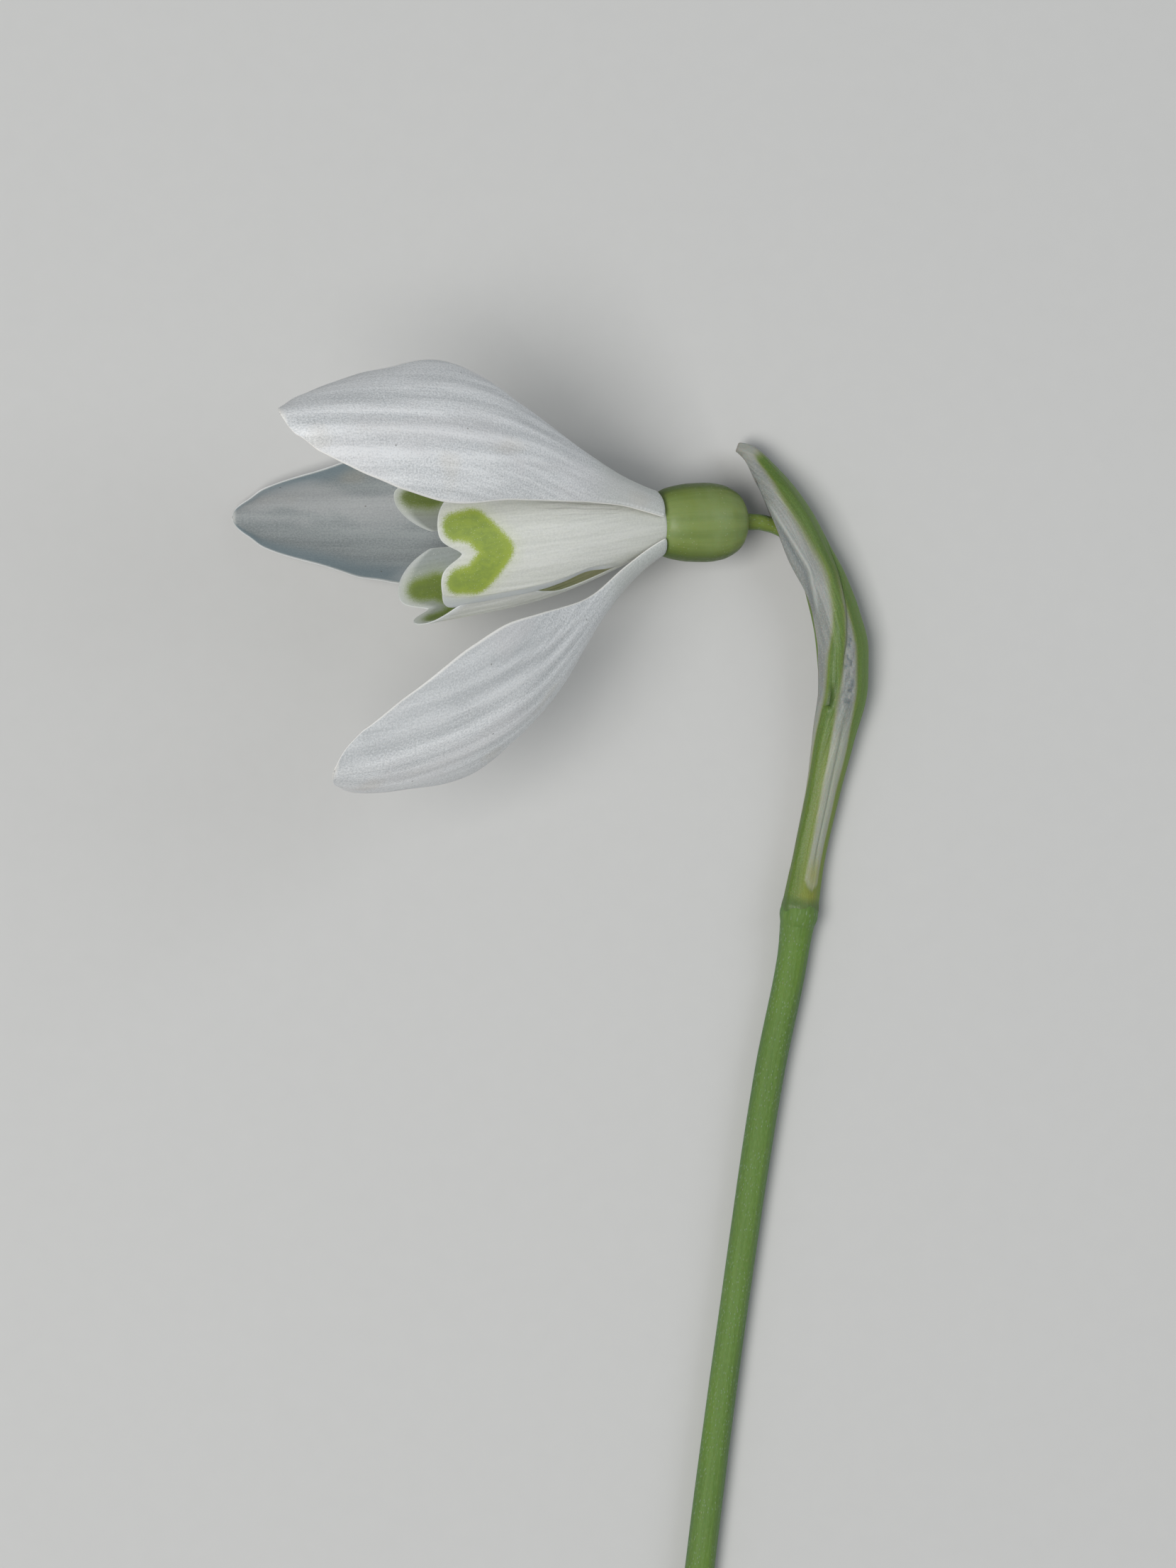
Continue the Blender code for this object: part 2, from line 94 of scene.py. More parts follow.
# around: place round the axis, 0 at the top and 90 towards +Y. lean: angle from the axis along the tepal.
# sweep: bend within its own plane. twist: turn about its length. cup: half the arc of its cross-section.
# near, far: how much further out each margin runs than the even outline, as (share of the length, mm).
# veins: distance from the midline where the blade is widest and strength of each, with the darker bands
# between them as negative strengths. gather: share of that distance that is left along the tepal. drift: how
# far the veins shift sideways along it. blunt: share of the length that rounds off at the tip. grey: how much
# painted shade darkens its inner side. painted_half_shade: how much painted shade darkens its far half, with
# a little painted light on its near half. hatch, beads: strength of the claw's fine relief.
OUTER_TEPALS = {
    "outer_tepal_upper": dict(
        around=39, length=24.8, half_width=4.5, widest=0.61, claw=0.24, tip=0.75,
        lean=(31, 38, 18, 4), sweep=(0, -2, -1), twist=(0, -18, 10), cup=(34, 47, 55),
        near=[(0, 0), (0.25, 0), (0.35, -0.08), (0.5, -0.16), (0.6, -0.16), (0.66, -0.1), (0.71, 0.02),
              (0.76, 0.18), (0.82, 0.2), (0.88, 0.06), (0.92, 0), (0.97, 0.02), (1, -0.08)],
        far=[(0, 0), (0.12, -0.35), (0.3, -0.48), (0.4, -0.34), (0.47, 0.24), (0.53, 0.3), (0.68, -0.12),
             (0.78, 0.25), (0.9, 0.3), (0.955, 0.38), (0.985, 0.22), (1, 0.12)],
        veins=[(-3.6, 0.4), (-2.95, 0.35), (-2.25, 1.0), (-1.7, -0.45), (-1.05, 0.9), (-0.47, -0.6),
               (0.15, 0.95), (0.95, -0.45), (1.75, 0.45), (2.4, -0.2), (3.0, 0.35), (3.8, 0.2)],
        gather=[(0, 0.3), (0.25, 0.45), (0.4, 0.62), (0.5, 0.88), (0.6, 1), (1, 1)],
        drift=[(0, 0), (0.25, 0.25), (0.45, 0.3), (0.6, 0.18), (0.8, 0), (1, 0)],
        blunt=0.025, grey=0.0, painted_half_shade=0, hatch=0.0, beads=1.0, seed=3),
    "outer_tepal_back": dict(
        around=168, length=21.4, half_width=4.25, widest=0.58, claw=0.20, tip=0.60,
        lean=(36, 31.5, 21, 15), sweep=(0, -2.5, -3.5), twist=(0, 10, 3), cup=(34, 55, 60),
        near=[(0, 0), (0.3, 0), (0.55, -0.1), (0.75, 0), (1, 0)],
        far=[(0, 0), (0.3, 0), (0.63, -0.25), (0.71, 0), (1, 0)],
        veins=[(-3.0, 0.3), (-1.75, 0.6), (-1.2, -0.3), (-0.7, 0.5), (-0.3, -0.25), (0.05, 0.6),
               (0.45, -0.2), (0.85, 0.8), (1.4, -0.3), (1.8, 0.4), (2.6, 0.5)],
        gather=[(0, 0.3), (0.3, 0.5), (0.55, 1), (0.85, 1), (1, 0.9)],
        drift=[(0, 0), (1, 0)],
        blunt=0.035, grey=1.0, painted_half_shade=0, hatch=0.3, beads=0.0, seed=5),
    "outer_tepal_lower": dict(
        around=-58, length=23.5, half_width=4.6, widest=0.59, claw=0.19, tip=0.90,
        lean=(26, 44.5, 19.5, 1), sweep=(0, -5, 5.5), twist=(0, 18.5, 10), cup=(34, 41.5, 51),
        near=[(0, 0), (0.1, -0.05), (0.18, -0.2), (0.26, -0.38), (0.35, -0.25), (0.47, -0.72), (0.54, -0.62),
              (0.64, 0.25), (0.75, 0.15), (0.85, 0.4), (0.93, 0.45), (0.97, 0.35), (1, 0)],
        far=[(0, 0), (0.12, -0.05), (0.2, -0.25), (0.27, -0.36), (0.33, -0.27), (0.47, 0.17), (0.6, -0.12),
             (0.8, -0.1), (0.91, -0.32), (0.97, -0.12), (1, 0)],
        veins=[(-2.9, 0.25), (-2.0, 0.35), (-1.4, -0.2), (-0.85, 0.35), (-0.3, -0.45), (0.33, 0.75),
               (1.0, -0.4), (1.75, 1.0), (2.35, -0.35), (2.95, 0.9), (3.5, -0.25), (4.0, 0.25)],
        gather=[(0, 0.3), (0.25, 0.42), (0.4, 0.63), (0.5, 0.84), (0.6, 0.97), (0.75, 1), (0.9, 0.87),
                (1, 0.8)],
        drift=[(0, 0), (1, 0)],
        blunt=0.04, grey=0.12, painted_half_shade=0.62, hatch=1.0, beads=0.0, seed=8),
}
VEIN_WIDTH = 0.3
THREAD_HEIGHT = 0.14                      # of the threads between the veins, as a share of theirs
MARGIN_WAVE = 0.04
HATCH_HEIGHT, HATCH_SPACING = 0.012, 0.3  # low ridges across the claw
BEAD_HEIGHT, BEAD_SPACING = 0.035, 0.27   # a row of grains near the claw's margin

INNER_HALF_WIDTH = 3.55
INNER_WIDTH = [(0, 0.32), (0.2, 0.52), (0.45, 0.74), (0.7, 0.93), (0.88, 1.0), (1.0, 0.97)]
INNER_LEAN = [(0, 21), (0.3, 17), (0.75, 4), (1, 8)]
NOTCH_DEPTH, NOTCH_WIDTH = 0.09, 0.15     # as shares of the length and of the half width
INNER_VEIN_HEIGHT, INNER_VEIN_SPACING = 0.005, 0.62
INNER_THREAD_HEIGHT = 0.008
WRINKLE_DEPTH = 0.03                      # of the lines beside the folded margin
# fold: how strongly the first margin folds over. overlap: how much further each margin reaches round.
# rounding: how far the end falls back towards each margin, of the length. shaded_lining, leaf: how far
# painted shade darkens its inner side and its green mark, for the tepals that lie deeper in the cup.
INNER_TEPALS = {
    "inner_tepal_front": dict(
        around=-9, length=13.35, base_radius=1.38, fold=1.0, overlap=(0, 0), rounding=(0.09, 0.14),
        shaded_lining=(1, 1, 1), leaf=(1, 1, 1), seed=11),
    "inner_tepal_upper": dict(
        around=107, length=13.4, base_radius=1.1, fold=0, overlap=(0.3, 0), rounding=(0.16, 0.16),
        shaded_lining=(0.37, 0.39, 0.42), leaf=(0.25, 0.31, 0.18), seed=12),
    "inner_tepal_lower": dict(
        around=-125, length=13.55, base_radius=1.1, fold=0, overlap=(0, 0.3), rounding=(0.16, 0.16),
        shaded_lining=(0.5, 0.54, 0.6), leaf=(0.47, 0.55, 0.5), seed=13),
}
# One arm of the green mark, from the heart where both arms meet: distance along the tepal, across it, radius.
MARK_ARM = [(10.2, 0, 0.8), (11.4, 1.36, 0.86), (12.33, 1.38, 0.7)]

STAMENS = 6
FIRST_STAMEN = 30   # place round the axis
STAMEN_RING = 0.72  # from the axis to the stamens' feet
STAMEN_LEAN = 1.5   # towards the axis
STAMEN_PROFILE = [  # distance from the foot, radius, as for the style
    (0, 0.1), (0.5, 0.09), (0.8, 0.1), (0.9, 0.16), (1.0, 0.26), (1.8, 0.3), (3.4, 0.24), (5.4, 0.13),
    (5.7, 0.07), (6.0, 0.03),
]
STYLE_PROFILE = [(0, 0.2), (0.4, 0.13), (5.0, 0.13), (7.6, 0.17), (8.4, 0.12), (8.6, 0.05)]

PEDICEL_RADIUS = 0.4
PEDICEL_ROUTE = [  # centre, from the ovary to inside the spathe
    (9.55, 25.42, 2.54), (9.85, 25.42, 2.41), (10.4, 25.42, 2.2), (11.0, 25.32, 1.92), (11.8, 25.0, 1.68),
    (12.7, 24.0, 1.48), (13.3, 21.9, 1.36), (13.8, 19.6, 1.3), (14.0, 17.4, 1.22), (14.15, 15.0, 1.08),
    (13.95, 12.0, 0.94), (13.2, 8.6, 0.9), (12.65, 5.9, 0.96),
]

KEEL_RISE = 0.1  # of a keel's ridge above the even section
# From the node to the tip: share of the length, centre x, centre y, centre z, half width, half depth,
# and where the two free margins are, as angles from the right-hand keel over the top and underneath.
SPATHE_SECTIONS = [
    (0.00, 12.61, 5.34, 0.93, 0.90, 0.90, 176, -176),
    (0.007, 12.65, 5.63, 1.0, 0.972, 0.972, 176, -176),
    (0.022, 12.73, 6.14, 0.955, 0.915, 0.92, 176, -176),
    (0.12, 13.18, 8.60, 0.88, 0.83, 0.85, 176, -176),
    (0.24, 13.80, 11.45, 0.93, 0.87, 0.90, 176, -174),
    (0.35, 14.35, 14.35, 1.12, 1.08, 1.10, 168, -162),
    (0.47, 14.85, 17.25, 1.34, 1.29, 1.32, 148, -146),
    (0.54, 14.85, 18.80, 1.38, 1.31, 1.36, 146, -142),
    (0.61, 14.52, 20.55, 1.40, 1.22, 1.38, 148, -140),
    (0.68, 13.92, 22.30, 1.42, 1.15, 1.40, 146, -138),
    (0.75, 13.15, 23.75, 1.48, 1.14, 1.46, 140, -138),
    (0.82, 12.47, 25.24, 1.50, 1.06, 1.48, 134, -132),
    (0.88, 11.69, 26.70, 1.42, 0.88, 1.38, 132, -130),
    (0.94, 10.74, 28.14, 1.26, 0.60, 0.90, 134, -132),
    (0.975, 10.05, 28.98, 1.20, 0.44, 0.60, 140, -138),
    (1.00, 9.45, 29.30, 1.18, 0.24, 0.28, 150, -148),
]
# Where each keel's ridge runs, and how far its green reaches to either side of it.
FRONT_KEEL = [(0, 132), (0.24, 130), (0.42, 112), (0.53, 102), (0.61, 80), (0.75, 48), (0.9, 40), (1, 30)]
FRONT_KEEL_HALF = [
    (0, 50), (0.2, 43), (0.35, 27), (0.45, 19), (0.6, 19), (0.7, 26), (0.81, 40), (0.94, 48), (1, 40)]
SIDE_KEEL_HALF = [(0, 50), (0.06, 33), (0.3, 36), (0.5, 54), (0.75, 46), (0.94, 34), (1, 20)]
# Where a fold runs up the front membrane, and how far each mark of the spathe stands up or sinks in.
MEMBRANE_FOLD = [(0.6, 137), (0.68, 117), (0.735, 101), (0.8, 108), (0.85, 117), (0.92, 133)]
SPATHE_RELIEF = dict(fold=0.05, hollow=-0.05, seam=-0.06, groove=-0.05, crease=-0.16, lip=0.05)

SCAPE_ROUTE = [  # centre x, y, z and radius, from the cut end to the node under the spathe
    (6.94, -33.20, 0.77, 0.77), (7.80, -25.80, 0.77, 0.77), (9.35, -14.20, 0.75, 0.74),
    (11.10, -2.70, 0.79, 0.79), (12.25, 3.00, 0.8, 0.79), (12.50, 4.80, 0.92, 0.88),
    (12.58, 5.30, 1.01, 0.985), (12.60, 5.47, 1.01, 0.985), (12.62, 5.60, 0.97, 0.945),
    (12.65, 5.80, 0.9, 0.87), (12.67, 5.95, 0.86, 0.7),
]
CUT_EDGE = (0.90, 0.97, 0.995)  # the scape's first rings, as shares of its radius

# Rows along each piece, and points round or across it.
GRIDS = dict(
    scape=(620, 96), pedicel=(260, 48), spathe=(271, 171), ovary=(180, 144), outer_tepal=(241, 141),
    inner_tepal=(201, 181), stamen=(90, 32), style=(90, 32))

# ---------------------------------------------------------------- the stage, in metres

FLOOR_HALF_SIDE = 1.5
FLOOR_GAP = 0.00002             # under the flower's lowest point
VIEW_CENTRE = (0.00178, 0.01202)
VIEW_LEVEL = 0.003              # above the floor, where the height of the view is measured
SENSOR_WIDTH = 36               # in millimetres
SIGHT = (0.01, 10)              # the nearest and the farthest that the camera sees
ROOM_COLOUR = (0.86, 0.90, 0.95, 1)
ROOM_STRENGTH = 0.29
KEY_LIGHT = dict(place=(-0.16, -0.05, 0.46), size=0.26, colour=(1.0, 0.985, 0.96))
FILL_LIGHT = dict(place=(0.38, 0.18, 0.34), size=0.3, colour=(0.90, 0.95, 1.0))


# ---------------------------------------------------------------- settings a user would change


def metres(name, description, default, low, high):
    """A length to set, in metres, from low to high."""
    return bpy.props.FloatProperty(
        name=name, description=description, default=default, min=low, max=high, precision=5, unit="LENGTH")


def rgb(name, description, default):
    """A colour to set."""
    return bpy.props.FloatVectorProperty(
        name=name, description=description, default=default, size=3, min=0, max=1, subtype="COLOR")


def watts(name, description, default):
    """A light's power to set, in watts."""
    return bpy.props.FloatProperty(
        name=name, description=description, default=default, min=0, subtype="POWER")


class SnowdropSizes(bpy.types.PropertyGroup):
    """Thicknesses and reliefs of the flower's surfaces."""

    tepal_thickness: metres("Tepal thickness", "Thickness of a tepal's middle", 0.00018, 0.00005, 0.0003)
    rim_thickness: metres("Rim thickness", "Thickness of a tepal's margin", 0.00006, 0.00002, 0.0002)
    vein_height: metres("Vein height", "How far the veins of the outer tepals stand up", 0.00004, 0.0, 0.0001)
    spathe_thickness: metres(
        "Spathe thickness", "Thickness of the spathe at its keels", 0.00026, 0.0001, 0.0004)
    membrane_thickness: metres("Membrane", "Thickness of the spathe's thin parts", 0.00009, 0.00004, 0.0003)
    crinkle_height: metres("Crinkle height", "How far the dry membranes crinkle", 0.00005, 0.0, 0.0002)


class SnowdropColours(bpy.types.PropertyGroup):
    """The flower's colours."""

    petal_white: rgb("Outer white", "Bright veins of the outer tepals", (0.87, 0.883, 0.89))
    petal_grey: rgb("Outer grey", "Bands between the veins of the outer tepals", (0.50, 0.52, 0.53))
    inner_cream: rgb("Inner cream", "Inner tepals", (0.78, 0.79, 0.72))
    mark_green: rgb("Mark green", "Green marks on the inner tepals", (0.185, 0.285, 0.002))
    stem_green: rgb("Stem green", "Scape", (0.10, 0.18, 0.045))
    stem_yellow: rgb("Stem yellow", "Yellower streaks of the scape", (0.13, 0.235, 0.03))
    pedicel_green: rgb("Pedicel green", "Pedicel", (0.12, 0.185, 0.033))
    pedicel_yellow: rgb("Pedicel yellow", "Yellower streaks of the pedicel", (0.22, 0.27, 0.05))
    ovary_green: rgb("Ovary green", "Ovary", (0.16, 0.22, 0.038))
    keel_green: rgb("Keel green", "Keels of the spathe", (0.10, 0.178, 0.03))
    membrane_grey: rgb("Membrane grey", "Dry membranes of the spathe", (0.252, 0.27, 0.255))
    anther_orange: rgb("Anther orange", "Anthers", (0.72, 0.36, 0.05))


class SnowdropStage(bpy.types.PropertyGroup):
    """Floor, light and camera."""

    floor_colour: rgb("Floor", "Colour of the surface", (0.57, 0.57, 0.56))
    key_power: watts("Key light", "Power of the large soft light", 1.72)
    fill_power: watts("Fill light", "Power of the weaker light", 0.5)
    camera_height: metres("Camera height", "Camera above the surface", 0.378, 0.1, 2)
    view_height: metres("View height", "Long side of the camera's view at the flower", 0.08, 0.02, 1)


# ---------------------------------------------------------------- curves and directions


def unit(vectors):
    """Each vector at length 1."""
    return vectors / np.maximum(np.linalg.norm(vectors, axis=-1, keepdims=True), 1e-12)


def through(knots, places):
    """A smooth curve through (place, value) knots that never overshoots them.

    A cubic runs between neighbouring knots. Its slope at a knot is the weighted harmonic mean of the slopes
    on either side, or zero at a peak.
    """
    x, y = np.array(knots, float).T
    places = np.asarray(places, float)
    if len(x) == 2:
        return y[0] + (y[1] - y[0]) * (places - x[0]) / (x[1] - x[0])
    step = np.diff(x)
    rise = np.diff(y) / step
    slope = np.zeros_like(y)
    same_way = rise[1:] * rise[:-1] > 0
    near, far = 2 * step[1:] + step[:-1], step[1:] + 2 * step[:-1]
    safe = np.where(rise == 0, 1, rise)
    slope[1:-1] = np.where(same_way, (near + far) / (near / safe[:-1] + far / safe[1:]), 0)
    for end, sign in ((0, 1), (-1, -1)):
        h0, h1 = step[::sign][0], step[::sign][1]
        d0, d1 = rise[::sign][0], rise[::sign][1]
        guess = ((2 * h0 + h1) * d0 - h0 * d1) / (h0 + h1)
        if guess * d0 <= 0:
            guess = 0
        elif d0 * d1 <= 0 and abs(guess) > 3 * abs(d0):
            guess = 3 * d0
        slope[end] = guess
    left = np.clip(np.searchsorted(x, places, side="right") - 1, 0, len(x) - 2)
    t = (places - x[left]) / step[left]
    return (
        y[left] * (1 + 2 * t) * (1 - t) ** 2
        + slope[left] * step[left] * t * (1 - t) ** 2
        + y[left + 1] * t**2 * (3 - 2 * t)
        + slope[left + 1] * step[left] * t**2 * (t - 1)
    )


def soft_step(low, high, value):
    """0 below low and 1 above high, with a smooth S between: 3x^2 - 2x^3."""
    x = np.clip((value - low) / (high - low), 0, 1)
    return x * x * (3 - 2 * x)


def hump(centre, width, value):
    """A bell of height 1 round the centre: exp(-((value - centre) / width)^2)."""
    return np.exp(-(((value - centre) / width) ** 2))


def ripples(across, along, finest, seed, waves=28):
    """Smooth irregular waves of about -1 to 1 over a surface measured in millimetres.

    The sum of cosines of seeded direction, phase and wavelength, from finest to four times finest.
    """
    rng = np.random.default_rng(seed)
    turns, phases = rng.uniform(0, 2 * np.pi, (2, waves))
    lengths = finest * rng.uniform(1, 4, waves)
    total = 0
    for turn, phase, length in zip(turns, phases, lengths):
        distance = across * math.cos(turn) + along * math.sin(turn)
        total = total + np.cos(2 * np.pi * distance / length + phase)
    return total / math.sqrt(waves)


def direction(lift, turn):
    """The unit vector that lifts from -X towards +Z and turns towards -Y."""
    lift, turn = math.radians(lift), math.radians(turn)
    return np.array([-math.cos(lift) * math.cos(turn), -math.cos(lift) * math.sin(turn), math.sin(lift)])


AXIS = direction(MOUTH_LIFT, MOUTH_TURN)
UPWARD = unit(np.array([0, 0, 1.0]) - AXIS[2] * AXIS)
SIDEWAYS = np.cross(AXIS, UPWARD)  # towards +Y
OVARY_AXIS = direction(MOUTH_LIFT, OVARY_TURN)


def spokes(around):
    """The radial and the tangential direction at a place round the flower's axis."""
    angle = math.radians(around)
    radial = UPWARD * math.cos(angle) + SIDEWAYS * math.sin(angle)
    tangent = -UPWARD * math.sin(angle) + SIDEWAYS * math.cos(angle)
    return radial, tangent


# ---------------------------------------------------------------- meshes


def put_mesh(name, points, quads, fans, quad_uv, fan_uv, values):
    """A mesh object from points in millimetres, quads and triangles, a UV per corner and values per point.

    The enclosed volume is the sum over triangles of a . (b x c) / 6. Where it is negative, every face is
    turned round, so that they all face outwards.
    """
    triangles = np.concatenate([quads[:, [0, 1, 2]], quads[:, [0, 2, 3]], fans])
    a, b, c = (points[triangles[:, k]] for k in range(3))
    if np.einsum("ij,ij->", a, np.cross(b, c)) < 0:
        quads, quad_uv = quads[:, ::-1], quad_uv[:, ::-1]
        fans, fan_uv = fans[:, ::-1], fan_uv[:, ::-1]
    corners = np.concatenate([quads.ravel(), fans.ravel()])
    starts = np.concatenate([4 * np.arange(len(quads)), 4 * len(quads) + 3 * np.arange(len(fans))])
    mesh = bpy.data.meshes.new(name)
    mesh.vertices.add(len(points))
    mesh.vertices.foreach_set("co", (points * MM).astype(np.float32).ravel())
    mesh.loops.add(len(corners))
    mesh.loops.foreach_set("vertex_index", corners.astype(np.int32))
    mesh.polygons.add(len(starts))
    mesh.polygons.foreach_set("loop_start", starts.astype(np.int32))
    layer = mesh.uv_layers.new(name="surface")
    corner_uv = np.concatenate([quad_uv.reshape(-1, 2), fan_uv.reshape(-1, 2)])
    layer.uv.foreach_set("vector", corner_uv.astype(np.float32).ravel())
    for key, value in values.items():
        held = mesh.attributes.new(key, "FLOAT", "POINT")
        held.data.foreach_set("value", np.ascontiguousarray(value, np.float32).ravel())
    mesh.update(calc_edges=True)
    mesh.validate()
    mesh.shade_smooth()
    made = bpy.data.objects.new(name, mesh)
    bpy.context.scene.collection.objects.link(made)
    return made


def outward_normal(points, away):
    """The unit normal of a grid of points, (change along) x (change across), on the side away points to."""
    normal = unit(np.cross(np.gradient(points, axis=0), np.gradient(points, axis=1)))
    return normal * np.sign(np.sum(normal * away))


def walls_and_rim(rows, columns, row, column):
    """The quads of a shell: both walls, and two strips round the rim between them.

    row and column list the grid points round the open grid's border.
    """
    count = rows * columns
    index = np.arange(count).reshape(rows, columns)
    wall = np.stack([index[:-1, :-1], index[1:, :-1], index[1:, 1:], index[:-1, 1:]], -1).reshape(-1, 4)
    edge, ring = index[row, column], 2 * count + np.arange(len(row))
    edge_next, ring_next = np.roll(edge, -1), np.roll(ring, -1)
    return np.concatenate([
        wall,
        wall[:, ::-1] + count,
        np.stack([edge, edge_next, ring_next, ring], -1),
        np.stack([ring, ring_next, edge_next + count, edge + count], -1),
    ])


def shell(name, middle, away, thickness, uv, values, relief=0):
    """A closed thin solid round an open grid of points, with a rounded rim.

    One wall stands half the thickness off the middle on the side that away points to, and the other as far
    on the far side. Between them a rim runs round the four sides, half the thickness further out. uv and
    values hold one entry per grid point, and "inside" is 0 on the near wall and 1 on the far one.
    """
    rows, columns = middle.shape[:2]
    normal = outward_normal(middle, away)
    half = (thickness / 2)[..., None]
    near = middle + normal * (half + np.asarray(relief)[..., None])
    far = middle - normal * half
    last, end = rows - 1, columns - 1
    row = np.concatenate([np.full(end, 0), np.arange(last), np.full(end, last), np.arange(last, 0, -1)])
    column = np.concatenate([np.arange(end), np.full(last, end), np.arange(end, 0, -1), np.full(last, 0)])
    within = middle[np.clip(row, 1, last - 1), np.clip(column, 1, end - 1)]
    outward = unit(middle[row, column] - within)
    rim = (near[row, column] + far[row, column]) / 2 + outward * half[row, column]
    points = np.concatenate([near.reshape(-1, 3), far.reshape(-1, 3), rim])
    quads = walls_and_rim(rows, columns, row, column)
    every_uv = np.concatenate([uv.reshape(-1, 2), uv.reshape(-1, 2), uv[row, column]])
    values = {key: np.broadcast_to(value, (rows, columns)) for key, value in values.items()}
    held = {key: np.concatenate([v.ravel(), v.ravel(), v[row, column]]) for key, v in values.items()}
    held["inside"] = np.repeat([0.0, 1.0, 0.5], [rows * columns, rows * columns, len(row)])
    no_fans = np.zeros((0, 3), int)
    return put_mesh(name, points, quads, no_fans, every_uv[quads], np.zeros((0, 3, 2)), held)


def stalk(name, rings, along, values):
    """A closed solid from rings of points, each end drawn to its middle.

    rings is (rows, round, 3). The UV runs once round the stalk across, and in millimetres along it.
    """
    rows, around = rings.shape[:2]
    index = np.arange(rows * around).reshape(rows, around)
    following = np.roll(index, -1, axis=1)
    quads = np.stack([index[:-1], index[1:], following[1:], following[:-1]], -1).reshape(-1, 4)
    share = np.arange(around + 1) / around
    left, low = np.meshgrid(share[:-1], along[:-1])
    right, high = np.meshgrid(share[1:], along[1:])
    corners = ((left, low), (left, high), (right, high), (right, low))
    quad_uv = np.stack([np.stack(corner, -1) for corner in corners], 2).reshape(-1, 4, 2)
    points = np.concatenate([rings.reshape(-1, 3), rings[0].mean(0)[None], rings[-1].mean(0)[None]])
    start, finish = np.full(around, rows * around), np.full(around, rows * around + 1)
    fans = np.concatenate([
        np.stack([index[0], following[0], start], -1),
        np.stack([following[-1], index[-1], finish], -1)])
    middle = (share[1:] + share[:-1]) / 2

    def end_uv(first, second, height):
        """UV corners of the triangles that close an end."""
        return np.stack([np.stack([u, np.full(around, height)], -1) for u in (first, second, middle)], 1)

    fan_uv = np.concatenate([
        end_uv(share[:-1], share[1:], along[0]),
        end_uv(share[1:], share[:-1], along[-1])])
    values = {key: np.broadcast_to(value, (rows, around)) for key, value in values.items()}
    held = {key: np.concatenate([v.ravel(), [v[0].mean()], [v[-1].mean()]]) for key, v in values.items()}
    return put_mesh(name, points, quads, fans, quad_uv, fan_uv, held)


def smooth_route(route, count):
    """Points read evenly from a smooth curve through the route's own points; further columns follow along."""
    route = np.array(route, float)
    legs = np.linalg.norm(np.diff(route[:, :3], axis=0), axis=1)
    place = np.concatenate([[0], np.cumsum(legs)]) / legs.sum()
    even = np.linspace(0, 1, count)
    return np.stack([through(np.stack([place, column], 1), even) for column in route.T], axis=1), legs.sum()


def turns(count, start=0.0):
    """Even steps once round, in radians."""
    return 2 * np.pi * np.arange(count) / count + start


def rings_along(route, radii):
    """Rings round a route: centre + radius (cos u * right + sin u * up), with radii as (rows, round).

    The ring starts underneath, so that the seam of its UV is out of sight.
    """
    heading = unit(np.gradient(route, axis=0))
    right = unit(np.cross(heading, [0, 0, 1.0]))
    up = np.cross(right, heading)
    turn = turns(radii.shape[1], -np.pi / 2)
    spoke = np.cos(turn)[None, :, None] * right[:, None] + np.sin(turn)[None, :, None] * up[:, None]
    rings = route[:, None] + radii[..., None] * spoke
    rings[..., 2] = np.maximum(rings[..., 2], 0)
    return rings


def rings_turned(profile, base, axis, count, turn, shape=1.0):
    """Rings of a turned form: base + ahead * axis + radius * spoke.

    The radius is the profile's times shape, a number or a function of the turn and the distance ahead. A turn
    of 0 points upwards.
    """
    ahead, radius = smooth_route(profile, count)[0].T
    up = unit(np.array([0, 0, 1.0]) - axis[2] * axis)
    side = np.cross(axis, up)
    spoke = np.cos(turn)[:, None] * up + np.sin(turn)[:, None] * side
    if callable(shape):
        shape = shape(turn[None], ahead[:, None])
    spread = radius[:, None] * shape
    return base + ahead[:, None, None] * axis + spread[..., None] * spoke[None], ahead


# ---------------------------------------------------------------- surfaces of the tepals and the spathe


def outer_width(tepal):
    """Knots of an outer tepal's half width: narrow claw, broad blade, pointed tip."""
    widest, claw, tip = tepal["widest"], tepal["claw"], tepal["tip"]
    left = 1 - widest
    return [
        (0, 0.9 * claw), (0.08, claw), (0.2, 1.6 * claw), (widest - 0.2, 0.76), (widest, 1),
        (widest + 0.5 * left, 0.5 + 0.3 * tip), (widest + 0.825 * left, 0.25 + 0.3 * tip),
        (0.97, 0.1 + 0.25 * tip), (1, 0.05 + 0.2 * tip),
    ]


